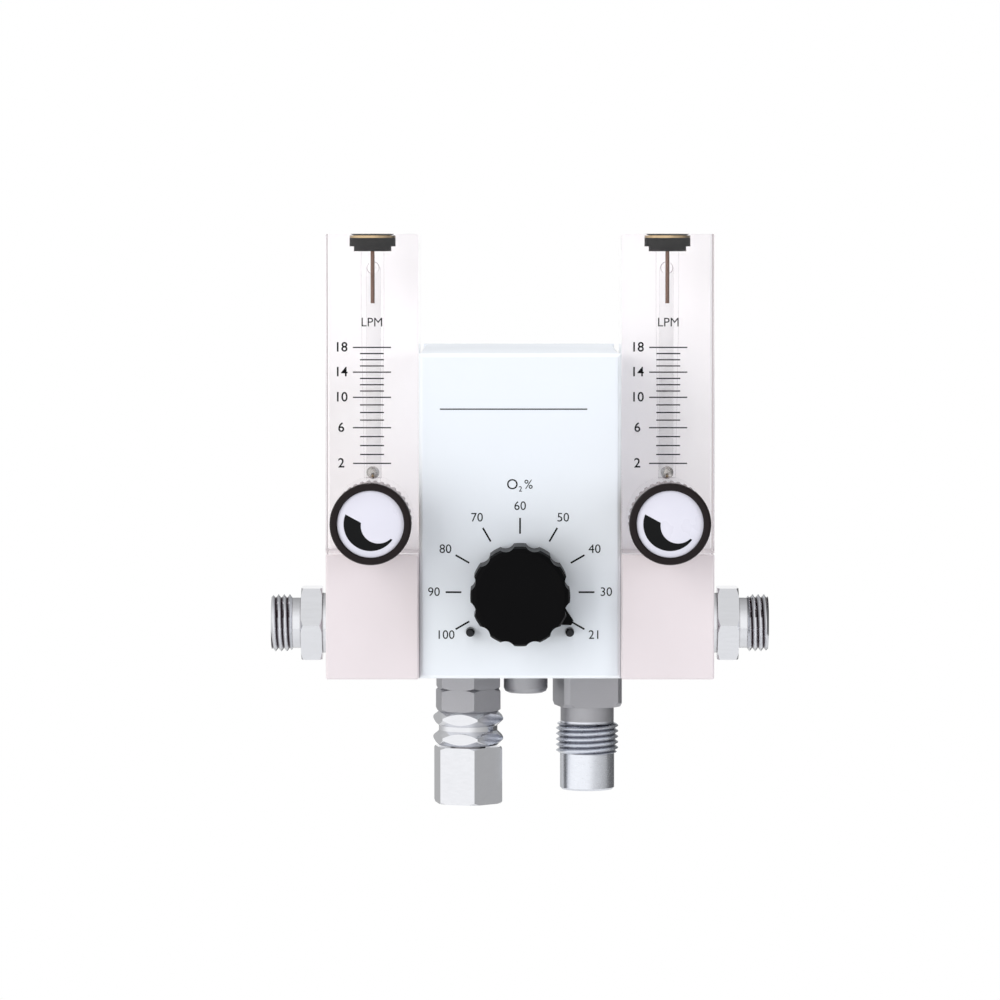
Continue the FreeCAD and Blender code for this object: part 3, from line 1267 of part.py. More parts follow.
def make_outlet(side):
    body = new_body(side.label("outlet"), side.outer, outlet_y, outlet_z, side.away)
    shoulder = "dim.outlet_shoulder_length"
    neck = f"({shoulder} + dim.outlet_hex_length)"
    thread = f"({neck} + dim.outlet_neck_length)"
    end = f"({thread} + dim.outlet_thread_length)"
    bevel = "dim.outlet_thread_bevel"
    hexagon(body, side.label("outlet_hexagon"), "dim.outlet_flats", "30", shoulder,
            "dim.outlet_hex_length", "dim.outlet_bevel")
    turn(body, side.label("outlet_stem"),
         [("dim.outlet_bore_radius", "-dim.outlet_stub_length"),
          ("dim.outlet_stub_radius", "-dim.outlet_stub_length"),
          ("dim.outlet_stub_radius", "0"), ("dim.outlet_shoulder_radius", "0"),
          ("dim.outlet_shoulder_radius", shoulder), ("dim.outlet_neck_radius", shoulder),
          ("dim.outlet_neck_radius", thread), (f"dim.outlet_thread_radius - {bevel}", thread),
          ("dim.outlet_thread_radius", f"{thread} + {bevel}"),
          ("dim.outlet_thread_radius", f"{end} - {bevel}"),
          (f"dim.outlet_thread_radius - {bevel}", end), ("dim.outlet_bore_radius", end)])
    drill(body, side.label("outlet_bore"), "0", "0", "dim.outlet_bore_radius",
          "-dim.outlet_stub_length", f"dim.outlet_stub_length + {end}")
    drill(body, side.label("outlet_mouth"), "0", "0", "dim.outlet_mouth_radius",
          f"{end} - dim.outlet_mouth_depth", "dim.outlet_mouth_depth")
    keep(side.label("outlet_fitting"), body)


def make_meter_fasteners():
    nipples = []
    screws = []
    backings = []
    small = []
    for side in SIDES:
        start = side.inner
        tube = rod(side.label("nipple"), side.away, start, feed_y, dial_z, "dim.nipple_radius",
                   "dim.nipple_half_length")
        inward = rod(side.label("nipple_in"), side.towards, start, feed_y, dial_z, "dim.nipple_radius",
                     "dim.nipple_half_length + dim.cover_thick")
        hole = rod(side.label("nipple_hole_out"), side.away, start, feed_y, dial_z, "dim.nipple_bore",
                   "dim.nipple_half_length")
        hole_in = rod(side.label("nipple_hole_in"), side.towards, start, feed_y, dial_z,
                      "dim.nipple_bore", "dim.nipple_half_length + dim.cover_thick")
        nipples.append(cut(side.label("feed_nipple"), fused(side.label("nipple_bar"), [tube, inward]),
                           [hole, hole_in]))
        for number, (y, z) in enumerate(meter_screw_places()):
            seat = f"({side.outer} - ({side.outer} - {side.inner}) / dim.meter_width"
            seat += " * dim.meter_screw_counterbore)"
            head = rod(side.label(f"meter_head_{number}"), side.away, seat, y, z,
                       "dim.meter_screw_head_radius", "dim.meter_screw_head_height")
            shank = rod(side.label(f"meter_shank_{number}"), side.towards, seat, y, z,
                        "dim.screw_radius", "dim.meter_width - dim.meter_screw_counterbore"
                        " + dim.cover_thick + dim.meter_screw_grip")
            socket = rod(side.label(f"meter_socket_{number}"), side.away,
                         f"{seat} + ({side.outer} - {side.inner}) / dim.meter_width", y, z,
                         "dim.screw_radius * 0.85", "dim.meter_screw_head_height")
            screws.append(cut(side.label(f"meter_screw_{number}"),
                              fused(side.label(f"meter_bar_{number}"), [head, shank]), [socket]))
        plate = edged_block(side.label("backing"), side.span,
                            (meter_back, f"{meter_back} + dim.backing_thick"), (bottom, tube_top),
                            "dim.meter_edge")
        holes = []
        for number, (x, z) in enumerate(backing_screw_places(side)):
            holes.append(rod(side.label(f"backing_hole_{number}"), INWARD, x, meter_back, z,
                             "dim.screw_radius + dim.screw_fit", "dim.backing_thick"))
            seat = f"({meter_back} + dim.backing_thick)"
            head = cone(side.label(f"backing_head_{number}"), INWARD, x, seat, z,
                        "dim.backing_head_radius", "dim.backing_head_radius * 0.7",
                        "dim.backing_head_height")
            shank = rod(side.label(f"backing_shank_{number}"), OUTWARD, x, seat, z,
                        "dim.screw_radius", "dim.backing_screw_length")
            small.append(fused(side.label(f"backing_screw_{number}"), [head, shank]))
        backings.append(cut(side.label("backing_plate"), plate, holes))
    keep("feed_nipples", group("feed_nipple_set", nipples))
    keep("meter_screws", group("meter_screw_set", screws))
    keep("meter_backings", group("meter_backing_set", backings))
    keep("backing_screws", group("backing_screw_set", small))


make_front_panel()
make_overlay()
make_panel_screws()
make_stop_pins()
make_cover()
make_manifold()
make_shaft_bush()
make_mixing_knob()
make_mixing_shaft()
make_mixing_valve()
make_balance_module()
make_balance_spool()
make_rear()
make_bracket()
make_oxygen_inlet()
make_air_inlet()
make_alarm_cap()
for side in SIDES:
    make_meter_base(side)
    make_meter_tube(side)
    make_meter_float(side)
    make_flow_control(side)
    make_outlet(side)
make_tube_plugs()
make_flow_bushes()
make_meter_fasteners()
doc.recompute()

for item in doc.Objects:
    if "Invalid" in item.State or "Error" in item.State:
        raise RuntimeError(f"{item.Label} did not build: {item.State}")
for label, item in parts.items():
    if item.Shape.isNull() or not item.Shape.isValid():
        raise RuntimeError(f"{label} has no valid shape")

os.makedirs("parts", exist_ok=True)
for label, item in parts.items():
    item.Shape.exportStep(f"parts/{label}.step")
    print(label, len(item.Shape.Solids), round(item.Shape.Volume, 2))
print(len(parts), "sub-parts")
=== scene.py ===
import math

import bpy
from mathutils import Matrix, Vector


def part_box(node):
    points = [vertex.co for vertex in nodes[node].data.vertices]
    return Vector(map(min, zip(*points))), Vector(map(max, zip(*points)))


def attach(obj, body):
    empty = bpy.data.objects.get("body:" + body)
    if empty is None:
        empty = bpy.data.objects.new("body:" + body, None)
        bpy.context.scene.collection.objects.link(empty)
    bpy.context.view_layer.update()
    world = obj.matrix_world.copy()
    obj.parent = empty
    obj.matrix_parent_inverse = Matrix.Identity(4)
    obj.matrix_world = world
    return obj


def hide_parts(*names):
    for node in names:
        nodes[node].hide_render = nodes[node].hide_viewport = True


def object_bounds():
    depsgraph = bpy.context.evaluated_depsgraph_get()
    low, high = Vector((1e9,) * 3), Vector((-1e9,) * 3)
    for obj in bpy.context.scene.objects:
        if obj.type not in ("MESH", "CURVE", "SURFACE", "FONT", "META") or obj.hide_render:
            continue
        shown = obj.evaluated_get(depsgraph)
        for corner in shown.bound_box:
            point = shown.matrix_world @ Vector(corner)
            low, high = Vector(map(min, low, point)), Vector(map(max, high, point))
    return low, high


# Air-oxygen blender: looks for the CAD frame. Metres, +X right, +Y back, +Z up.
# Lengths in the dictionaries are millimetres and angles are degrees, unless a note says otherwise.

mm = 0.001
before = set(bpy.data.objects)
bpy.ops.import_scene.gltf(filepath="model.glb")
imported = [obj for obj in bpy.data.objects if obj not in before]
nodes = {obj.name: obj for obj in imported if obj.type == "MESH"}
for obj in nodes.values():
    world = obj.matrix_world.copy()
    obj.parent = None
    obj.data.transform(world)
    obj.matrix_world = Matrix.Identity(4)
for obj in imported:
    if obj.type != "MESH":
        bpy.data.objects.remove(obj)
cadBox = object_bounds()
print("frame loaded:", len(nodes), "nodes")


# Places taken from the frame
def middle(node):
    low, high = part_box(node)
    return (low + high) / 2


dialCentre = middle("shaft_bush")
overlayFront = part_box("panel_overlay")[0].y
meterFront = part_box("left_meter_tube")[0].y
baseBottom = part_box("left_meter_base")[0].z
# the way along X in which each side's outlet points
sides = {"left": -1, "right": 1}

# How shapes are made: distances at which points become one, facets, and spare material to cut off
making = {"copyMerge": 0.0005, "cutMerge": 0.001, "screwMerge": 0.005, "rimReach": 0.01,
          "roundSides": 96, "screwSteps": 64, "spareLength": 0.3, "spareTurns": 3, "edgeAngle": 28}


# Small helpers for working in edit mode
def deselectAll():
    if bpy.context.object and bpy.context.object.mode != "OBJECT":
        bpy.ops.object.mode_set(mode="OBJECT")
    bpy.ops.object.select_all(action="DESELECT")


def pick(*pieces):
    deselectAll()
    for piece in pieces:
        piece.select_set(True)
    bpy.context.view_layer.objects.active = pieces[0]
    return pieces[0]


def editAll(piece):
    pick(piece)
    bpy.ops.object.mode_set(mode="EDIT")
    bpy.ops.mesh.select_all(action="SELECT")


def selectVerts(piece, test):
    # selects the vertices whose place passes the test, and stays in edit mode
    bpy.ops.object.mode_set(mode="EDIT")
    bpy.ops.mesh.select_mode(type="VERT")
    bpy.ops.mesh.select_all(action="DESELECT")
    bpy.ops.object.mode_set(mode="OBJECT")
    for vert in piece.data.vertices:
        vert.select = test(vert.co)
    bpy.ops.object.mode_set(mode="EDIT")


def applyModifier(piece, kind, **settings):
    pick(piece)
    modifier = piece.modifiers.new(kind.title(), kind)
    for name, setting in settings.items():
        setattr(modifier, name, setting)
    bpy.ops.object.modifier_apply(modifier=modifier.name)
    return piece


def boolean(piece, other, operation):
    applyModifier(piece, "BOOLEAN", object=other, operation=operation, solver="EXACT")
    bpy.data.objects.remove(other)
    return piece


def joined(*pieces):
    pick(*pieces)
    bpy.ops.object.join()
    return bpy.context.object


def lay(piece, rotation=(0, 0, 0), location=(0, 0, 0)):
    # turns and moves a finished piece, then applies both
    pick(piece)
    piece.rotation_euler = [math.radians(angle) for angle in rotation]
    piece.location = location
    bpy.ops.object.transform_apply(location=True, rotation=True, scale=True)
    return piece


def copyNode(name):
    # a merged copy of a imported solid, free to be cut
    pick(nodes[name])
    bpy.ops.object.duplicate()
    piece = bpy.context.object
    piece.rotation_mode = "XYZ"
    editAll(piece)
    bpy.ops.mesh.remove_doubles(threshold=making["copyMerge"] * mm)
    bpy.ops.object.mode_set(mode="OBJECT")
    bpy.ops.mesh.customdata_custom_splitnormals_clear()
    return piece


def cutOff(piece, point, normal):
    # cuts the piece at a plane, drops what lies beyond it and closes the cut
    editAll(piece)
    bpy.ops.mesh.bisect(plane_co=point, plane_no=normal, use_fill=True, clear_outer=True,
                        threshold=making["cutMerge"] * mm)
    bpy.ops.object.mode_set(mode="OBJECT")


def cleanUp(piece):
    # merges what a cut left double and turns all faces outwards
    editAll(piece)
    bpy.ops.mesh.remove_doubles(threshold=making["cutMerge"] * mm)
    bpy.ops.mesh.dissolve_degenerate(threshold=making["cutMerge"] * mm)
    bpy.ops.mesh.normals_make_consistent(inside=False)
    bpy.ops.object.mode_set(mode="OBJECT")


def roundBar(radius, low, high, chamfer=0.0):
    # a round bar about Z between two heights, with chamfered rims where asked for
    deselectAll()
    bpy.ops.mesh.primitive_cylinder_add(vertices=making["roundSides"], radius=radius * mm,
                                        depth=(high - low) * mm, location=(0, 0, 0))
    bar = lay(bpy.context.object, (0, 0, 0), (0, 0, (low + high) / 2 * mm))
    if chamfer:
        for height in (low, high):
            selectVerts(bar, lambda place: abs(place.z - height * mm) < making["rimReach"] * mm)
            bpy.ops.mesh.bevel(offset=chamfer * mm, segments=1, affect="EDGES")
        bpy.ops.object.mode_set(mode="OBJECT")
    return bar


def threadedBar(thread):
    # a bored bar about Z from height 0: a zigzag of one pitch, swept upwards by the Screw modifier
    deselectAll()
    bpy.ops.mesh.primitive_circle_add(vertices=4, radius=1, fill_type="NOTHING",
                                      location=(0, 0, 0), rotation=(math.pi / 2, 0, 0))
    bar = bpy.context.object
    bpy.ops.object.transform_apply(location=True, rotation=True, scale=True)
    deep = thread["crest"] + thread["crestCut"] - thread["root"]
    editAll(bar)
    bpy.ops.transform.resize(value=(deep * mm, 1, thread["pitch"] / 2 * mm))
    bpy.ops.transform.translate(value=(thread["root"] * mm, 0, -1.5 * thread["pitch"] * mm))
    selectVerts(bar, lambda place: place.x < (thread["root"] - deep / 2) * mm)
    bpy.ops.mesh.delete(type="VERT")
    bpy.ops.object.mode_set(mode="OBJECT")
    turns = math.ceil(thread["length"] / thread["pitch"]) + making["spareTurns"]
    applyModifier(bar, "SCREW", axis="Z", screw_offset=thread["pitch"] * mm, iterations=turns,
                  steps=making["screwSteps"], render_steps=making["screwSteps"])
    editAll(bar)
    bpy.ops.mesh.remove_doubles(threshold=making["screwMerge"] * mm)
    bpy.ops.object.mode_set(mode="OBJECT")
    spare = making["spareLength"]
    cutOff(bar, (0, 0, -spare * mm), (0, 0, -1))
    cutOff(bar, (0, 0, (thread["length"] + spare) * mm), (0, 0, 1))
    cleanUp(bar)
    outside = roundBar(thread["crest"], 0, thread["length"], thread["chamfer"])
    boolean(bar, outside, "INTERSECT")
    return boolean(bar, roundBar(thread["bore"], -1, thread["length"] + 1), "DIFFERENCE")


def finishPiece(piece, name, material, body, angle=35, replaced=()):
    pick(piece)
    piece.name = name
    piece.data.name = name
    piece.data.materials.clear()
    piece.data.materials.append(material)
    bpy.ops.object.shade_smooth_by_angle(angle=math.radians(angle))
    # large flat faces stay flat next to their rounded edges
    applyModifier(piece, "WEIGHTED_NORMAL", keep_sharp=True)
    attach(piece, body)
    if replaced:
        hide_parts(*replaced)
    return piece


# Materials
white = (1, 1, 1, 1)
# depth of the fine patterns: grain of a cast or coated surface, marks of a polished one
bumpDepth = {"grain": 0.05, "marks": 0.02}
# painted shade in grooves: they are found by how much of the space around a point is open, as shares
# of 1
grooveShadeMask = {"reach": 0.8, "samples": 8, "closed": 0.5, "open": 0.8}
# half the height over which one finish on a piece goes over into another
finishBlend = 0.1


def colour(code):
    # sRGB hex to the linear values that the shaders take
    values = [int(code[index:index + 2], 16) / 255 for index in (0, 2, 4)]
    linear = [v / 12.92 if v <= 0.04045 else ((v + 0.055) / 1.055) ** 2.4 for v in values]
    return (*linear, 1.0)


def addNode(tree, kind, settings=None, links=None):
    # settings: a property or socket and its value. links: a socket and its (node, output).
    # Sockets go by name or by index, such as 6 and 7 for the colours of a Mix node.
    node = tree.nodes.new(kind)
    for name, setting in (settings or {}).items():
        if isinstance(name, int) or name in node.inputs.keys():
            node.inputs[name].default_value = setting
        else:
            setattr(node, name, setting)
    for name, (source, output) in (links or {}).items():
        tree.links.new(source.outputs[output], node.inputs[name])
    return node


def newMaterial(name):
    material = bpy.data.materials.new(name)
    material.use_nodes = True
    tree = material.node_tree
    tree.nodes.clear()
    place = addNode(tree, "ShaderNodeTexCoord")
    return material, tree, place


def drift(tree, look, noise):
    # a colour and a roughness that both vary a little with a noise
    mix = addNode(tree, "ShaderNodeMix", {"data_type": "RGBA", 6: colour(look["colour"]),
                                          7: colour(look["second"])}, {"Factor": (noise, "Fac")})
    rough = addNode(tree, "ShaderNodeMapRange", {"To Min": look["roughness"] - look["spread"],
                                                 "To Max": look["roughness"] + look["spread"]},
                    {"Value": (noise, "Fac")})
    return mix, rough


def grainMaterial(name, look):
    # slight patches of colour and roughness, and a fine bump
    material, tree, place = newMaterial(name)
    patches = addNode(tree, "ShaderNodeTexNoise", {"Scale": 1 / (look["patch"] * mm), "Detail": 3.0},
                      {"Vector": (place, "Object")})
    mix, rough = drift(tree, look, patches)
    grain = addNode(tree, "ShaderNodeTexNoise", {"Scale": 1 / (look["grain"] * mm), "Detail": 2.0},
                    {"Vector": (place, "Object")})
    bump = addNode(tree, "ShaderNodeBump",
                   {"Strength": look["bump"], "Distance": bumpDepth["grain"] * mm},
                   {"Height": (grain, "Fac")})
    settings = {"Metallic": look.get("metallic", 0.0), "IOR": look.get("ior", 1.5)}
    shader = addNode(tree, "ShaderNodeBsdfPrincipled", settings,
                     {"Base Color": (mix, 2), "Roughness": (rough, 0), "Normal": (bump, 0)})
    addNode(tree, "ShaderNodeOutputMaterial", links={"Surface": (shader, 0)})
    return material


def brushedMaterial(name, look):
    # machined or polished metal with fine marks around or along one axis
    material, tree, place = newMaterial(name)
    stretch = addNode(tree, "ShaderNodeMapping", {"Scale": look["stretch"]},
                      {"Vector": (place, "Object")})
    marks = addNode(tree, "ShaderNodeTexNoise", {"Scale": 1 / (look["mark"] * mm), "Detail": 4.0},
                    {"Vector": (stretch, 0)})
    mix, rough = drift(tree, look, marks)
    bump = addNode(tree, "ShaderNodeBump",
                   {"Strength": look["bump"], "Distance": bumpDepth["marks"] * mm},
                   {"Height": (marks, "Fac")})
    if "grooveShade" in look:
        # painted shade: inner corners, such as a thread's root, are darkened into a dark line where
        # little of the space around is open
        form = addNode(tree, "ShaderNodeAmbientOcclusion",
                       {"samples": grooveShadeMask["samples"], "only_local": True,
                        "Distance": grooveShadeMask["reach"] * mm})
        outer = addNode(tree, "ShaderNodeMapRange",
                        {"From Min": grooveShadeMask["closed"], "From Max": grooveShadeMask["open"]},
                        {"Value": (form, "AO")})
        mix = addNode(tree, "ShaderNodeMix", {"data_type": "RGBA", 6: colour(look["grooveShade"])},
                      {"Factor": (outer, 0), 7: (mix, 2)})
    if "upperShaded" in look:
        # another finish on the part of the piece above a height, its darker colour partly painted
        # shade from the housing above
        height = addNode(tree, "ShaderNodeSeparateXYZ", links={"Vector": (place, "Object")})
        above = addNode(tree, "ShaderNodeMapRange",
                        {"From Min": (look["upperFrom"] - finishBlend) * mm,
                         "From Max": (look["upperFrom"] + finishBlend) * mm},
                        {"Value": (height, "Z")})
        mix = addNode(tree, "ShaderNodeMix", {"data_type": "RGBA", 7: colour(look["upperShaded"])},
                      {"Factor": (above, 0), 6: (mix, 2)})
        rough = addNode(tree, "ShaderNodeMath",
                        {"operation": "MULTIPLY_ADD", 1: look["upperRoughness"] - look["roughness"]},
                        {0: (above, 0), 2: (rough, 0)})
    shader = addNode(tree, "ShaderNodeBsdfPrincipled", {"Metallic": 1.0},
                     {"Base Color": (mix, 2), "Roughness": (rough, 0), "Normal": (bump, 0)})
    addNode(tree, "ShaderNodeOutputMaterial", links={"Surface": (shader, 0)})
    return material


# screen-printed polycarbonate film: very smooth, faintly blue white, soft shine
printedFilm = grainMaterial("printed_polycarbonate_film", {
    "colour": "ECF1F6", "second": "E9EEF5", "patch": 30.0, "roughness": 0.42, "spread": 0.04,
    "grain": 0.12, "bump": 0.05, "ior": 1.58})
# painted aluminium panel under the film: its edge shows as a lighter line
paintedPanel = grainMaterial("painted_aluminium_panel", {
    "colour": "F6F9FC", "second": "F1F5FA", "patch": 20.0, "roughness": 0.35, "spread": 0.05,
    "grain": 0.3, "bump": 0.06})
# powder coated sheet: pale grey with a fine orange peel
powderCoat = grainMaterial("powder_coated_sheet", {
    "colour": "E9EDF2", "second": "E3E8EE", "patch": 25.0, "roughness": 0.45, "spread": 0.06,
    "grain": 0.6, "bump": 0.25})
# bead blasted and anodised aluminium: fine matt grain
anodised = grainMaterial("anodised_aluminium", {
    "colour": "C9CBCE", "second": "BFC2C6", "patch": 8.0, "roughness": 0.42, "spread": 0.06,
    "grain": 0.15, "bump": 0.15, "metallic": 1.0})
# satin acrylic of the meters' base blocks: milky, faintly pink
satinAcrylic = grainMaterial("satin_acrylic", {
    "colour": "E6DDE0", "second": "E2D9DC", "patch": 14.0, "roughness": 0.32, "spread": 0.05,
    "grain": 0.2, "bump": 0.04, "ior": 1.49})
# white styrene sheet: flat white, so that the clear blocks in front of it look bright
whiteSheet = grainMaterial("white_styrene_sheet", {
    "colour": "FDFAFB", "second": "FAF5F7", "patch": 18.0, "roughness": 0.5, "spread": 0.05,
    "grain": 0.3, "bump": 0.06})
# moulded phenolic: deep black with a soft shine at its rim
blackPhenolic = grainMaterial("black_phenolic", {
    "colour": "060607", "second": "040405", "patch": 6.0, "roughness": 0.4, "spread": 0.04,
    "grain": 0.5, "bump": 0.03, "ior": 1.15})
# moulded black ABS: a touch warmer and duller
blackRing = grainMaterial("black_abs_ring", {
    "colour": "1A1213", "second": "140E0F", "patch": 5.0, "roughness": 0.32, "spread": 0.05,
    "grain": 0.3, "bump": 0.04, "ior": 1.28})
# moulded grey ABS: warm grey with a dull shine on the knurls
greySkirt = grainMaterial("grey_abs_skirt", {
    "colour": "8F8688", "second": "857C7E", "patch": 4.0, "roughness": 0.38, "spread": 0.06,
    "grain": 0.2, "bump": 0.08})
# satin silver plastic: pale and evenly lit
silverCap = grainMaterial("satin_silver_cap", {
    "colour": "E2E1EC", "second": "DAD9E5", "patch": 9.0, "roughness": 0.28, "spread": 0.04,
    "grain": 0.15, "bump": 0.04})
# screen-printing ink: flat black, slightly uneven
blackInk = grainMaterial("black_printing_ink", {
    "colour": "08090A", "second": "0D0E10", "patch": 1.2, "roughness": 0.6, "spread": 0.08,
    "grain": 0.1, "bump": 0.1, "ior": 1.25})
# moulded nitrile rubber: soft black without a shine
blackRubber = grainMaterial("nitrile_rubber", {
    "colour": "0C0A0C", "second": "080708", "patch": 2.0, "roughness": 0.6, "spread": 0.08,
    "grain": 0.15, "bump": 0.15, "ior": 1.25})
# blackened steel: dark with a small highlight
blackSteel = grainMaterial("blackened_steel", {
    "colour": "1B1C1F", "second": "2A2B2E", "patch": 1.0, "roughness": 0.3, "spread": 0.08,
    "grain": 0.1, "bump": 0.08, "metallic": 0.6})
# polished chrome plate on brass: bright, with the faintest turning marks and painted shade in its
# grooves
chromePlate = brushedMaterial("chrome_plate", {
    "colour": "E9EAEE", "second": "DFE0E4", "stretch": (0.15, 1.0, 1.0), "mark": 0.8,
    "roughness": 0.12, "spread": 0.04, "bump": 0.03, "grooveShade": "655C61"})
# satin nickel plate: softer shine below, and a matt blasted block and neck above whose darker colour
# is partly painted shade from the housing; painted shade in the thread's grooves
satinNickel = brushedMaterial("satin_nickel_plate", {
    "colour": "ECEFF6", "second": "E2E5EC", "stretch": (0.3, 0.3, 2.0), "mark": 0.5,
    "roughness": 0.26, "spread": 0.05, "bump": 0.06, "grooveShade": "A6A8B0", "upperShaded": "B4B4B8",
    "upperFrom": -54.5, "upperRoughness": 0.5})
# bead blasted nickel: even matt grey, made darker partly as painted shade from the housing above it
dullShadedNickel = brushedMaterial("bead_blasted_nickel_painted_shade", {
    "colour": "BBBBBF", "second": "B1B1B5", "stretch": (1.0, 1.0, 1.0), "mark": 0.25,
    "roughness": 0.52, "spread": 0.05, "bump": 0.12})
# dark bronze rod: reddish brown with a dull shine
darkBronze = brushedMaterial("dark_bronze", {
    "colour": "86695C", "second": "755A4F", "stretch": (1.0, 1.0, 0.4), "mark": 0.3,
    "roughness": 0.45, "spread": 0.06, "bump": 0.06})
# machined stainless steel: warm grey with small highlights
stainless = brushedMaterial("stainless_steel", {
    "colour": "C2BEBB", "second": "B1ADAA", "stretch": (1.0, 1.0, 1.0), "mark": 0.3,
    "roughness": 0.26, "spread": 0.07, "bump": 0.06})
# turned brass: pale gold with fine marks
brass = brushedMaterial("turned_brass", {
    "colour": "D9C09A", "second": "CDB187", "stretch": (1.0, 1.0, 0.4), "mark": 0.3,
    "roughness": 0.24, "spread": 0.06, "bump": 0.06})


def acrylicMaterial(name, look):
    # the camera sees it bend the light, and all other rays pass straight through, with painted shade
    # where they graze its faces
    material, tree, place = newMaterial(name)
    waves = addNode(tree, "ShaderNodeTexNoise", {"Scale": 1 / (look["wave"] * mm), "Detail": 1.0},
                    {"Vector": (place, "Object")})
    rough = addNode(tree, "ShaderNodeMapRange", {"To Min": 0.0, "To Max": look["roughness"]},
                    {"Value": (waves, "Fac")})
    bump = addNode(tree, "ShaderNodeBump",
                   {"Strength": look["bump"], "Distance": bumpDepth["marks"] * mm},
                   {"Height": (waves, "Fac")})
    clear = addNode(tree, "ShaderNodeBsdfPrincipled",
                    {"Base Color": colour(look["colour"]), "IOR": look["ior"],
                     "Transmission Weight": 1.0},
                    {"Roughness": (rough, 0), "Normal": (bump, 0)})
    # painted shade: rays that graze a face pass darker, in the edge shade's grey
    facing = addNode(tree, "ShaderNodeLayerWeight", {"Blend": 0.5})
    grazing = addNode(tree, "ShaderNodeMapRange", {"From Min": look["edgeFrom"], "From Max": 1.0},
                      {"Value": (facing, "Facing")})
    tint = addNode(tree, "ShaderNodeMix", {"data_type": "RGBA", 6: colour(look["lampTint"]),
                                           7: colour(look["edgeShade"])}, {"Factor": (grazing, 0)})
    letThrough = addNode(tree, "ShaderNodeBsdfTransparent", links={"Color": (tint, 2)})
    rays = addNode(tree, "ShaderNodeLightPath")
    shader = addNode(tree, "ShaderNodeMixShader",
                     links={"Fac": (rays, "Is Camera Ray"), 1: (letThrough, 0), 2: (clear, 0)})
    addNode(tree, "ShaderNodeOutputMaterial", links={"Surface": (shader, 0)})
    return material


# polished cast acrylic: clear, with painted shade in soft grey bands where its faces are seen edge
# on
clearAcrylic = acrylicMaterial("cast_acrylic", {
    "colour": "FFFFFF", "lampTint": "FFFFFF", "edgeShade": "BDB4B7", "edgeFrom": 0.75, "wave": 12.0,
    "roughness": 0.03, "bump": 0.02, "ior": 1.49})

# What each carried-over node is made of
nodeFinish = {
    "front_panel": paintedPanel, "panel_overlay": printedFilm, "panel_screws": stainless,
    "stop_pins": blackSteel, "housing_cover": powderCoat, "manifold_block": anodised,
    "shaft_bush": brass, "shaft_seal": blackRubber, "mixing_knob": blackPhenolic,
    "knob_set_screw": blackSteel, "mixing_shaft": stainless, "mixing_spindle": stainless,
    "mixing_seats": brass, "mixing_spring": stainless, "balance_body": anodised,
    "balance_covers": anodised, "balance_screws": stainless, "balance_spool": brass,
    "rear_plate": powderCoat, "rear_screws": stainless, "mount_bracket": anodised,
    "bracket_screws": stainless, "oxygen_adapter": dullShadedNickel, "oxygen_check_body": chromePlate,
    "oxygen_nut": chromePlate, "oxygen_poppet": whiteSheet, "oxygen_filter": brass,
    "oxygen_spring": stainless, "air_inlet": satinNickel, "air_poppet": whiteSheet,
    "air_filter": brass, "air_spring": stainless, "alarm_cap": dullShadedNickel, "tube_plugs": brass,
    "plug_seals": blackRubber, "stop_rods": darkBronze, "valve_bushes": brass,
    "feed_nipples": brass, "meter_screws": stainless, "meter_backings": whiteSheet,
    "backing_screws": stainless,
}
sideFinish = {
    "meter_base": satinAcrylic, "meter_tube": clearAcrylic, "float_ball": stainless,
    "valve_stem": stainless, "stem_seal": blackRubber, "knob_skirt": greySkirt,
    "knob_ring": blackRing, "knob_face": silverCap, "outlet_fitting": chromePlate,
}
for side in sides:
    for name, finish in sideFinish.items():
        nodeFinish[f"{side}_{name}"] = finish
for name, finish in nodeFinish.items():
    nodes[name].data.materials.clear()
    nodes[name].data.materials.append(finish)
print("materials on", len(nodeFinish), "nodes")

# Threads of the outlets and the air inlet. The plain length, up to plainTo, is cut out of the
# node's copy and the wound one takes its place, with an overlap.
outletThread = {"crest": 7.14, "root": 6.3, "pitch": 1.411, "crestCut": 0.12, "length": 5.25,
                "overlap": 0.25, "plainTo": 6.25, "chamfer": 0.6, "bore": 4.22}
airThread = {"crest": 7.94, "root": 7.0, "pitch": 1.411, "crestCut": 0.12, "length": 7.6,
             "overlap": 0.25, "plainTo": 7.35, "chamfer": 0.5, "bore": 2.22, "height": 15.1}


def windThread(node, thread, rotation, place, name):
    fitting = copyNode(node)
    plain = roundBar(thread["crest"] + 1, thread["overlap"], thread["plainTo"])
    boolean(fitting, lay(plain, rotation, place), "DIFFERENCE")
    boolean(fitting, lay(threadedBar(thread), rotation, place), "UNION")
    cleanUp(fitting)
    finishPiece(fitting, name, nodeFinish[node], "housing", making["edgeAngle"], [node])


for side, away in sides.items():
    node = f"{side}_outlet_fitting"
    centre = middle(node)
    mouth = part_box(node)[away > 0].x
    start = Vector((mouth - away * outletThread["length"] * mm, centre.y, centre.z))
    windThread(node, outletThread, (0, away * 90, 0), start, f"{side}_outlet_threaded")
centre = middle("air_inlet")
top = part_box("front_panel")[0].z - (airThread["height"] - airThread["overlap"]) * mm
windThread("air_inlet", airThread, (180, 0, 0), Vector((centre.x, centre.y, top)),
           "air_inlet_threaded")
print("threads wound")

# The oxygen side's hexagons stand at the angle that they were tightened to
oxygenTurn = {"angle": -30.7, "pieces": {"oxygen_adapter": "housing",
                                         "oxygen_check_body": "housing",
                                         "oxygen_nut": "oxygen_nut"}}
centre = middle("oxygen_nut")
for node, body in oxygenTurn["pieces"].items():
    piece = lay(copyNode(node), (0, 0, 0), (-centre.x, -centre.y, 0))
    lay(piece, (0, 0, oxygenTurn["angle"]), (centre.x, centre.y, 0))
    finishPiece(piece, f"{node}_turned", nodeFinish[node], body,
                making["edgeAngle"], [node])
print("hexagons turned")

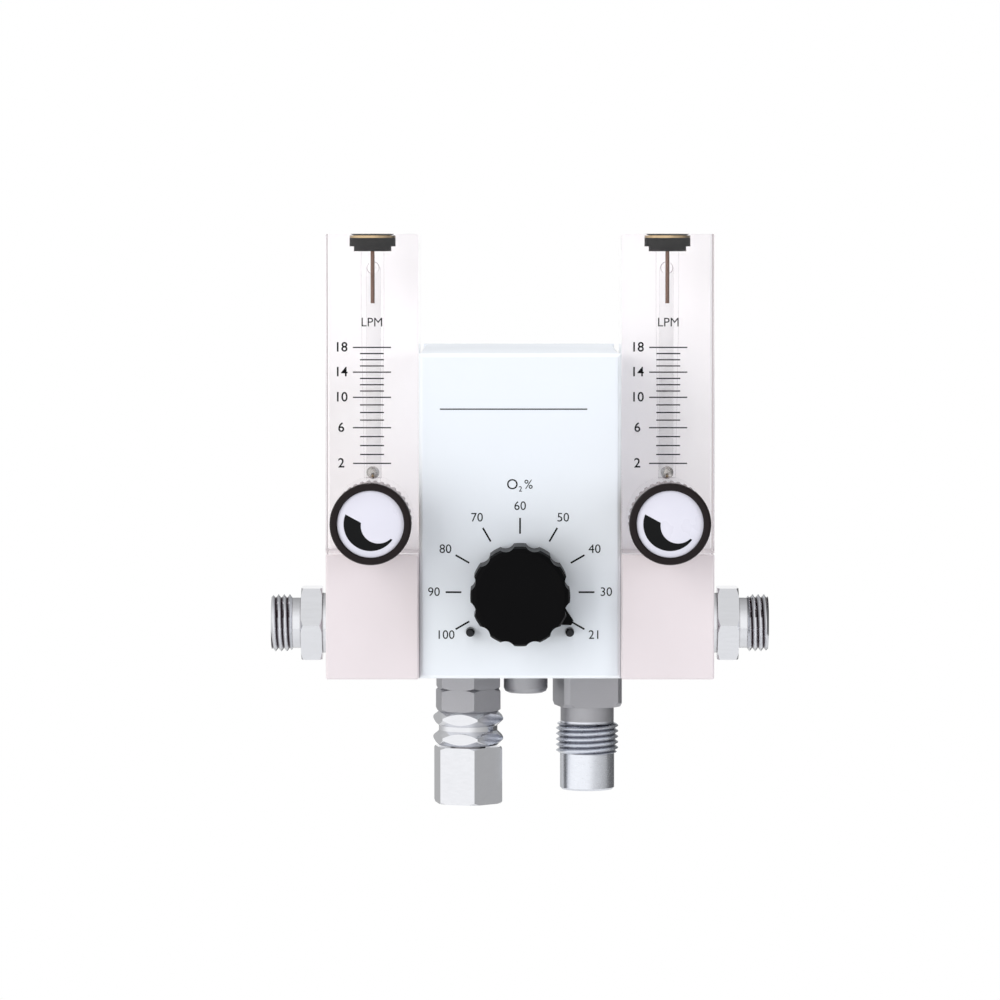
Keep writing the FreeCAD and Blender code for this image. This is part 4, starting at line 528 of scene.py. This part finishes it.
# Printed crescent on each flow knob's silver face: a disc less a hole and a slanted cut,
# trimmed to a thin skin of the face's crown
crescent = {"outer": 6.55, "inner": 4.33, "innerX": 1.97, "innerZ": -0.36, "cutX": -3.4,
            "cutZ": 0.97, "cutSlope": -28.4, "half": 3.0, "holeHalf": 4.0, "proud": 0.05,
            "deep": 0.6}


def makeCrescent(side):
    centre = middle(f"{side}_knob_face")
    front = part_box(f"{side}_knob_face")[0].y
    disc = lay(roundBar(crescent["outer"], -crescent["half"], crescent["half"]), (90, 0, 0))
    slope = math.radians(crescent["cutSlope"])
    cutOff(disc, (crescent["cutX"] * mm, 0, crescent["cutZ"] * mm),
           (-math.sin(slope), 0, math.cos(slope)))
    hole = lay(roundBar(crescent["inner"], -crescent["holeHalf"], crescent["holeHalf"]),
               (90, 0, 0), (crescent["innerX"] * mm, 0, crescent["innerZ"] * mm))
    boolean(disc, hole, "DIFFERENCE")
    lay(disc, (0, 0, 0), (centre.x, front, centre.z))
    crown = lay(copyNode(f"{side}_knob_face"), (0, 0, 0), (0, -crescent["proud"] * mm, 0))
    boolean(disc, crown, "INTERSECT")
    cutOff(disc, (0, front + crescent["deep"] * mm, 0), (0, 1, 0))
    cleanUp(disc)
    finishPiece(disc, f"{side}_knob_crescent", blackInk, f"{side}_flow_knob")


for side in sides:
    makeCrescent(side)
print("crescents printed")

# Printed dial on the front film, measured from the dial's axis. The label's parts are
# (words, size, place to the right, drop).
dial = {"tickInner": 14.5, "tickOuter": 18.4, "tickWide": 0.42, "inkThick": 0.03,
        "numberRadius": 21.3, "numberSize": 3.1, "firstAngle": -30, "step": 30,
        "marks": ("21", "30", "40", "50", "60", "70", "80", "90", "100"), "labelHeight": 26.6,
        "label": (("O", 3.6, -1.9, 0.0), ("2", 1.9, 0.1, 1.1), ("%", 3.2, 2.1, 0.0)),
        "ruleHeight": 45.3, "ruleLow": -19.8, "ruleHigh": 16.6, "ruleWide": 0.3}


def inkBar(width, height, thick):
    # one printed bar, its back at y 0
    deselectAll()
    bpy.ops.mesh.primitive_cube_add(size=1, location=(0, 0, 0))
    piece = bpy.context.object
    editAll(piece)
    bpy.ops.transform.resize(value=(width * mm, thick * mm, height * mm))
    bpy.ops.transform.translate(value=(0, -thick / 2 * mm, 0))
    bpy.ops.object.mode_set(mode="OBJECT")
    return piece


def inkText(words, size, place, thick, weight=0.0):
    # upright text on a front face, centred on its place, as a thin mesh
    deselectAll()
    bpy.ops.object.text_add(location=(0, 0, 0))
    piece = bpy.context.object
    piece.data.body = words
    piece.data.size = size * mm
    piece.data.align_x = "CENTER"
    piece.data.align_y = "CENTER"
    piece.data.extrude = thick / 2 * mm
    piece.data.offset = weight * mm
    piece.data.resolution_u = 4
    bpy.ops.object.convert(target="MESH")
    x, y, z = place
    return lay(bpy.context.object, (90, 0, 0), (x, y - thick / 2 * mm, z))


def onDial(radius, angle):
    # the place on the film at a radius and an angle about the dial's axis
    turn = math.radians(angle)
    reach = radius * mm
    return (dialCentre.x + reach * math.cos(turn), overlayFront,
            dialCentre.z + reach * math.sin(turn))


def printDial():
    thick = dial["inkThick"]
    tickLong = dial["tickOuter"] - dial["tickInner"]
    prints = []
    for index, mark in enumerate(dial["marks"]):
        angle = dial["firstAngle"] + dial["step"] * index
        tick = inkBar(tickLong, dial["tickWide"], thick)
        prints.append(lay(tick, (0, -angle, 0), onDial(dial["tickInner"] + tickLong / 2, angle)))
        prints.append(inkText(mark, dial["numberSize"], onDial(dial["numberRadius"], angle), thick))
    finishPiece(joined(*prints), "dial_print", blackInk, "housing")
    height = dialCentre.z + dial["labelHeight"] * mm
    label = [inkText(words, size, (dialCentre.x + x * mm, overlayFront, height - drop * mm), thick)
             for words, size, x, drop in dial["label"]]
    finishPiece(joined(*label), "dial_label", blackInk, "housing")
    rule = inkBar(dial["ruleHigh"] - dial["ruleLow"], dial["ruleWide"], thick)
    centre = (dial["ruleHigh"] + dial["ruleLow"]) / 2 * mm
    lay(rule, (0, 0, 0), (centre, overlayFront, dialCentre.z + dial["ruleHeight"] * mm))
    finishPiece(rule, "panel_rule", blackInk, "housing")


printDial()
print("dial printed")

# Printed flow scales: heights above the base block's bottom, lines' half lengths
flowScale = {"majorHeights": {"18": 82.1, "14": 76.0, "10": 69.8, "6": 62.3, "2": 53.5},
             "minors": 3, "majorHalf": 4.7, "minorHalf": 2.95, "lineWide": 0.3, "inkThick": 0.03,
             "numberPlace": -7.6, "numberSize": 3.3, "numberWeight": 0.04, "unitHeight": 88.2,
             "unitSize": 3.1}


def scaleLine(axis, half, height):
    line = inkBar(2 * half, flowScale["lineWide"], flowScale["inkThick"])
    return lay(line, (0, 0, 0), (axis, meterFront, baseBottom + height * mm))


def printScale(side):
    axis = middle(f"{side}_meter_tube").x
    thick = flowScale["inkThick"]
    prints = []
    for mark, height in flowScale["majorHeights"].items():
        prints.append(scaleLine(axis, flowScale["majorHalf"], height))
        place = (axis + flowScale["numberPlace"] * mm, meterFront, baseBottom + height * mm)
        prints.append(inkText(mark, flowScale["numberSize"], place, thick,
                              flowScale["numberWeight"]))
    heights = list(flowScale["majorHeights"].values())
    gaps = flowScale["minors"] + 1
    for high, low in zip(heights, heights[1:]):
        for index in range(1, gaps):
            height = high + (low - high) * index / gaps
            prints.append(scaleLine(axis, flowScale["minorHalf"], height))
    place = (axis, meterFront, baseBottom + flowScale["unitHeight"] * mm)
    prints.append(inkText("LPM", flowScale["unitSize"], place, thick))
    finishPiece(joined(*prints), f"{side}_scale_print", blackInk, "housing")


for side in sides:
    printScale(side)
print("flow scales printed")

# Studio: pale floor, soft lights, camera at the photograph's angle. Places and sizes of the
# lamps and the floor are metres. roomFall is how bright metal sees the room, from the side
# away from the bright azimuth to the side towards it; backdrop is where it is white behind.
studio = {"floorDrop": 400.0, "floorSize": 2.4, "floorLit": 0.5, "shadowReach": 700.0,
          "worldLight": 0.43, "brightAzimuth": -42.0, "backdrop": (0.95, 0.98),
          "roomFall": ((0.0, 0.12), (0.1, 0.18), (0.2, 0.45), (0.4, 0.56), (0.62, 0.7),
                       (0.85, 1.1)),
          "lampAim": (0, -0.05, 0)}
lamps = {
    "key_softbox": {"place": (-1.15, -1.3, 0.3), "size": (1.4, 1.6), "power": 18.5,
                    "tint": "FFFFFF"},
    "fill_softbox": {"place": (1.3, -0.9, 0.3), "size": (0.5, 1.0), "power": 8.0,
                     "tint": "F6F9FF"},
    "top_softbox": {"place": (0.0, 0.0, 1.4), "size": (0.9, 0.9), "power": 12.0,
                    "tint": "FFFFFF"},
}


def softLight(name, values):
    deselectAll()
    bpy.ops.object.light_add(type="AREA", location=values["place"])
    lamp = bpy.context.object
    lamp.name = name
    lamp.data.shape = "RECTANGLE"
    lamp.data.size, lamp.data.size_y = values["size"]
    lamp.data.energy = values["power"]
    lamp.data.color = colour(values["tint"])[:3]
    lamp.visible_glossy = False
    aim = Vector(studio["lampAim"]) - Vector(values["place"])
    lamp.rotation_euler = aim.to_track_quat("-Z", "Y").to_euler()


for name, values in lamps.items():
    softLight(name, values)

deselectAll()
floorHeight = cadBox[0].z - studio["floorDrop"] * mm
bpy.ops.mesh.primitive_plane_add(size=studio["floorSize"], location=(0, 0, floorHeight))
floor = bpy.context.object
floor.name = "floor"


def paleFloor():
    # white to the camera and through glass, but partly lit near the object, so its shadow shows
    material, tree, place = newMaterial("pale_floor")
    lit = addNode(tree, "ShaderNodeBsdfPrincipled",
                  {"Base Color": colour("F4F4F4"), "Roughness": 0.7})
    bright = addNode(tree, "ShaderNodeEmission", {"Color": white, "Strength": 1.0})
    rays = addNode(tree, "ShaderNodeLightPath")
    seen = addNode(tree, "ShaderNodeMath", {"operation": "MAXIMUM"},
                   {0: (rays, "Is Camera Ray"), 1: (rays, "Is Transmission Ray")})
    away = addNode(tree, "ShaderNodeVectorMath", {"operation": "LENGTH"},
                   {"Vector": (place, "Object")})
    shown = addNode(tree, "ShaderNodeMapRange", {"From Max": studio["shadowReach"] * mm,
                                                 "To Min": 1 - studio["floorLit"], "To Max": 1.0},
                    {"Value": (away, "Value")})
    share = addNode(tree, "ShaderNodeMath", {"operation": "MULTIPLY"},
                    {0: (seen, 0), 1: (shown, 0)})
    mixed = addNode(tree, "ShaderNodeMixShader",
                    links={"Fac": (share, 0), 1: (lit, 0), 2: (bright, 0)})
    addNode(tree, "ShaderNodeOutputMaterial", links={"Surface": (mixed, 0)})
    return material


floor.data.materials.append(paleFloor())


def studioWorld():
    # white where it is looked at; metal sees it fall off from the room's bright side to its dark one
    world = bpy.data.worlds.new("studio")
    bpy.context.scene.world = world
    world.use_nodes = True
    tree = world.node_tree
    tree.nodes.clear()
    rays = addNode(tree, "ShaderNodeLightPath")
    place = addNode(tree, "ShaderNodeTexCoord")
    azimuth = math.radians(studio["brightAzimuth"])
    towards = addNode(tree, "ShaderNodeVectorMath",
                      {"operation": "DOT_PRODUCT", 1: (math.sin(azimuth), -math.cos(azimuth), 0)},
                      {0: (place, "Generated")})
    share = addNode(tree, "ShaderNodeMapRange", {"From Min": -1.0, "From Max": 1.0},
                    {"Value": (towards, "Value")})
    fall = addNode(tree, "ShaderNodeValToRGB", links={"Fac": (share, 0)})
    for _ in studio["roomFall"][2:]:
        fall.color_ramp.elements.new(0.5)
    for element, (position, level) in zip(fall.color_ramp.elements, studio["roomFall"]):
        element.position = position
        element.color = (level, level, level, 1)
    behind = addNode(tree, "ShaderNodeSeparateXYZ", links={"Vector": (place, "Generated")})
    low, high = studio["backdrop"]
    backdrop = addNode(tree, "ShaderNodeMapRange", {"From Min": low, "From Max": high},
                       {"Value": (behind, "Y")})
    level = addNode(tree, "ShaderNodeMath", {"operation": "MAXIMUM"},
                    {0: (fall, "Color"), 1: (backdrop, 0)})
    graded = addNode(tree, "ShaderNodeBackground", {"Color": white}, {"Strength": (level, 0)})
    soft = addNode(tree, "ShaderNodeBackground",
                   {"Color": white, "Strength": studio["worldLight"]})
    plain = addNode(tree, "ShaderNodeBackground", {"Color": white, "Strength": 1.0})
    seen = addNode(tree, "ShaderNodeMath", {"operation": "MAXIMUM"},
                   {0: (rays, "Is Camera Ray"), 1: (rays, "Is Transmission Ray")})
    lights = addNode(tree, "ShaderNodeMixShader",
                     links={"Fac": (rays, "Is Glossy Ray"), 1: (soft, 0), 2: (graded, 0)})
    mixed = addNode(tree, "ShaderNodeMixShader",
                    links={"Fac": (seen, 0), 1: (lights, 0), 2: (plain, 0)})
    addNode(tree, "ShaderNodeOutputWorld", links={"Surface": (mixed, 0)})


studioWorld()

# the photograph's frame: 1000 pixels wide at 0.2467 mm a pixel, in the plane of the meters' front
camera = {"distance": 1300.0, "elevation": 3.3, "pixel": 0.2467, "frameWidth": 1000,
          "aimX": -4.95, "aimZ": 4.2, "sensor": 36.0, "clipStart": 50.0, "clipEnd": 20000.0}


def makeCamera():
    deselectAll()
    angle = math.radians(camera["elevation"])
    aim = Vector((camera["aimX"] * mm, meterFront, camera["aimZ"] * mm))
    back = Vector((0, -math.cos(angle), math.sin(angle)))
    bpy.ops.object.camera_add(location=aim + back * camera["distance"] * mm,
                              rotation=(math.pi / 2 - angle, 0, 0))
    made = bpy.context.object
    made.name = "camera"
    frameWide = camera["pixel"] * camera["frameWidth"]
    made.data.sensor_width = camera["sensor"]
    made.data.lens = camera["sensor"] * camera["distance"] / frameWide
    made.data.clip_start = camera["clipStart"] * mm
    made.data.clip_end = camera["clipEnd"] * mm
    bpy.context.scene.camera = made


makeCamera()
bpy.context.scene.view_settings.view_transform = "Standard"
deselectAll()
print("studio ready")
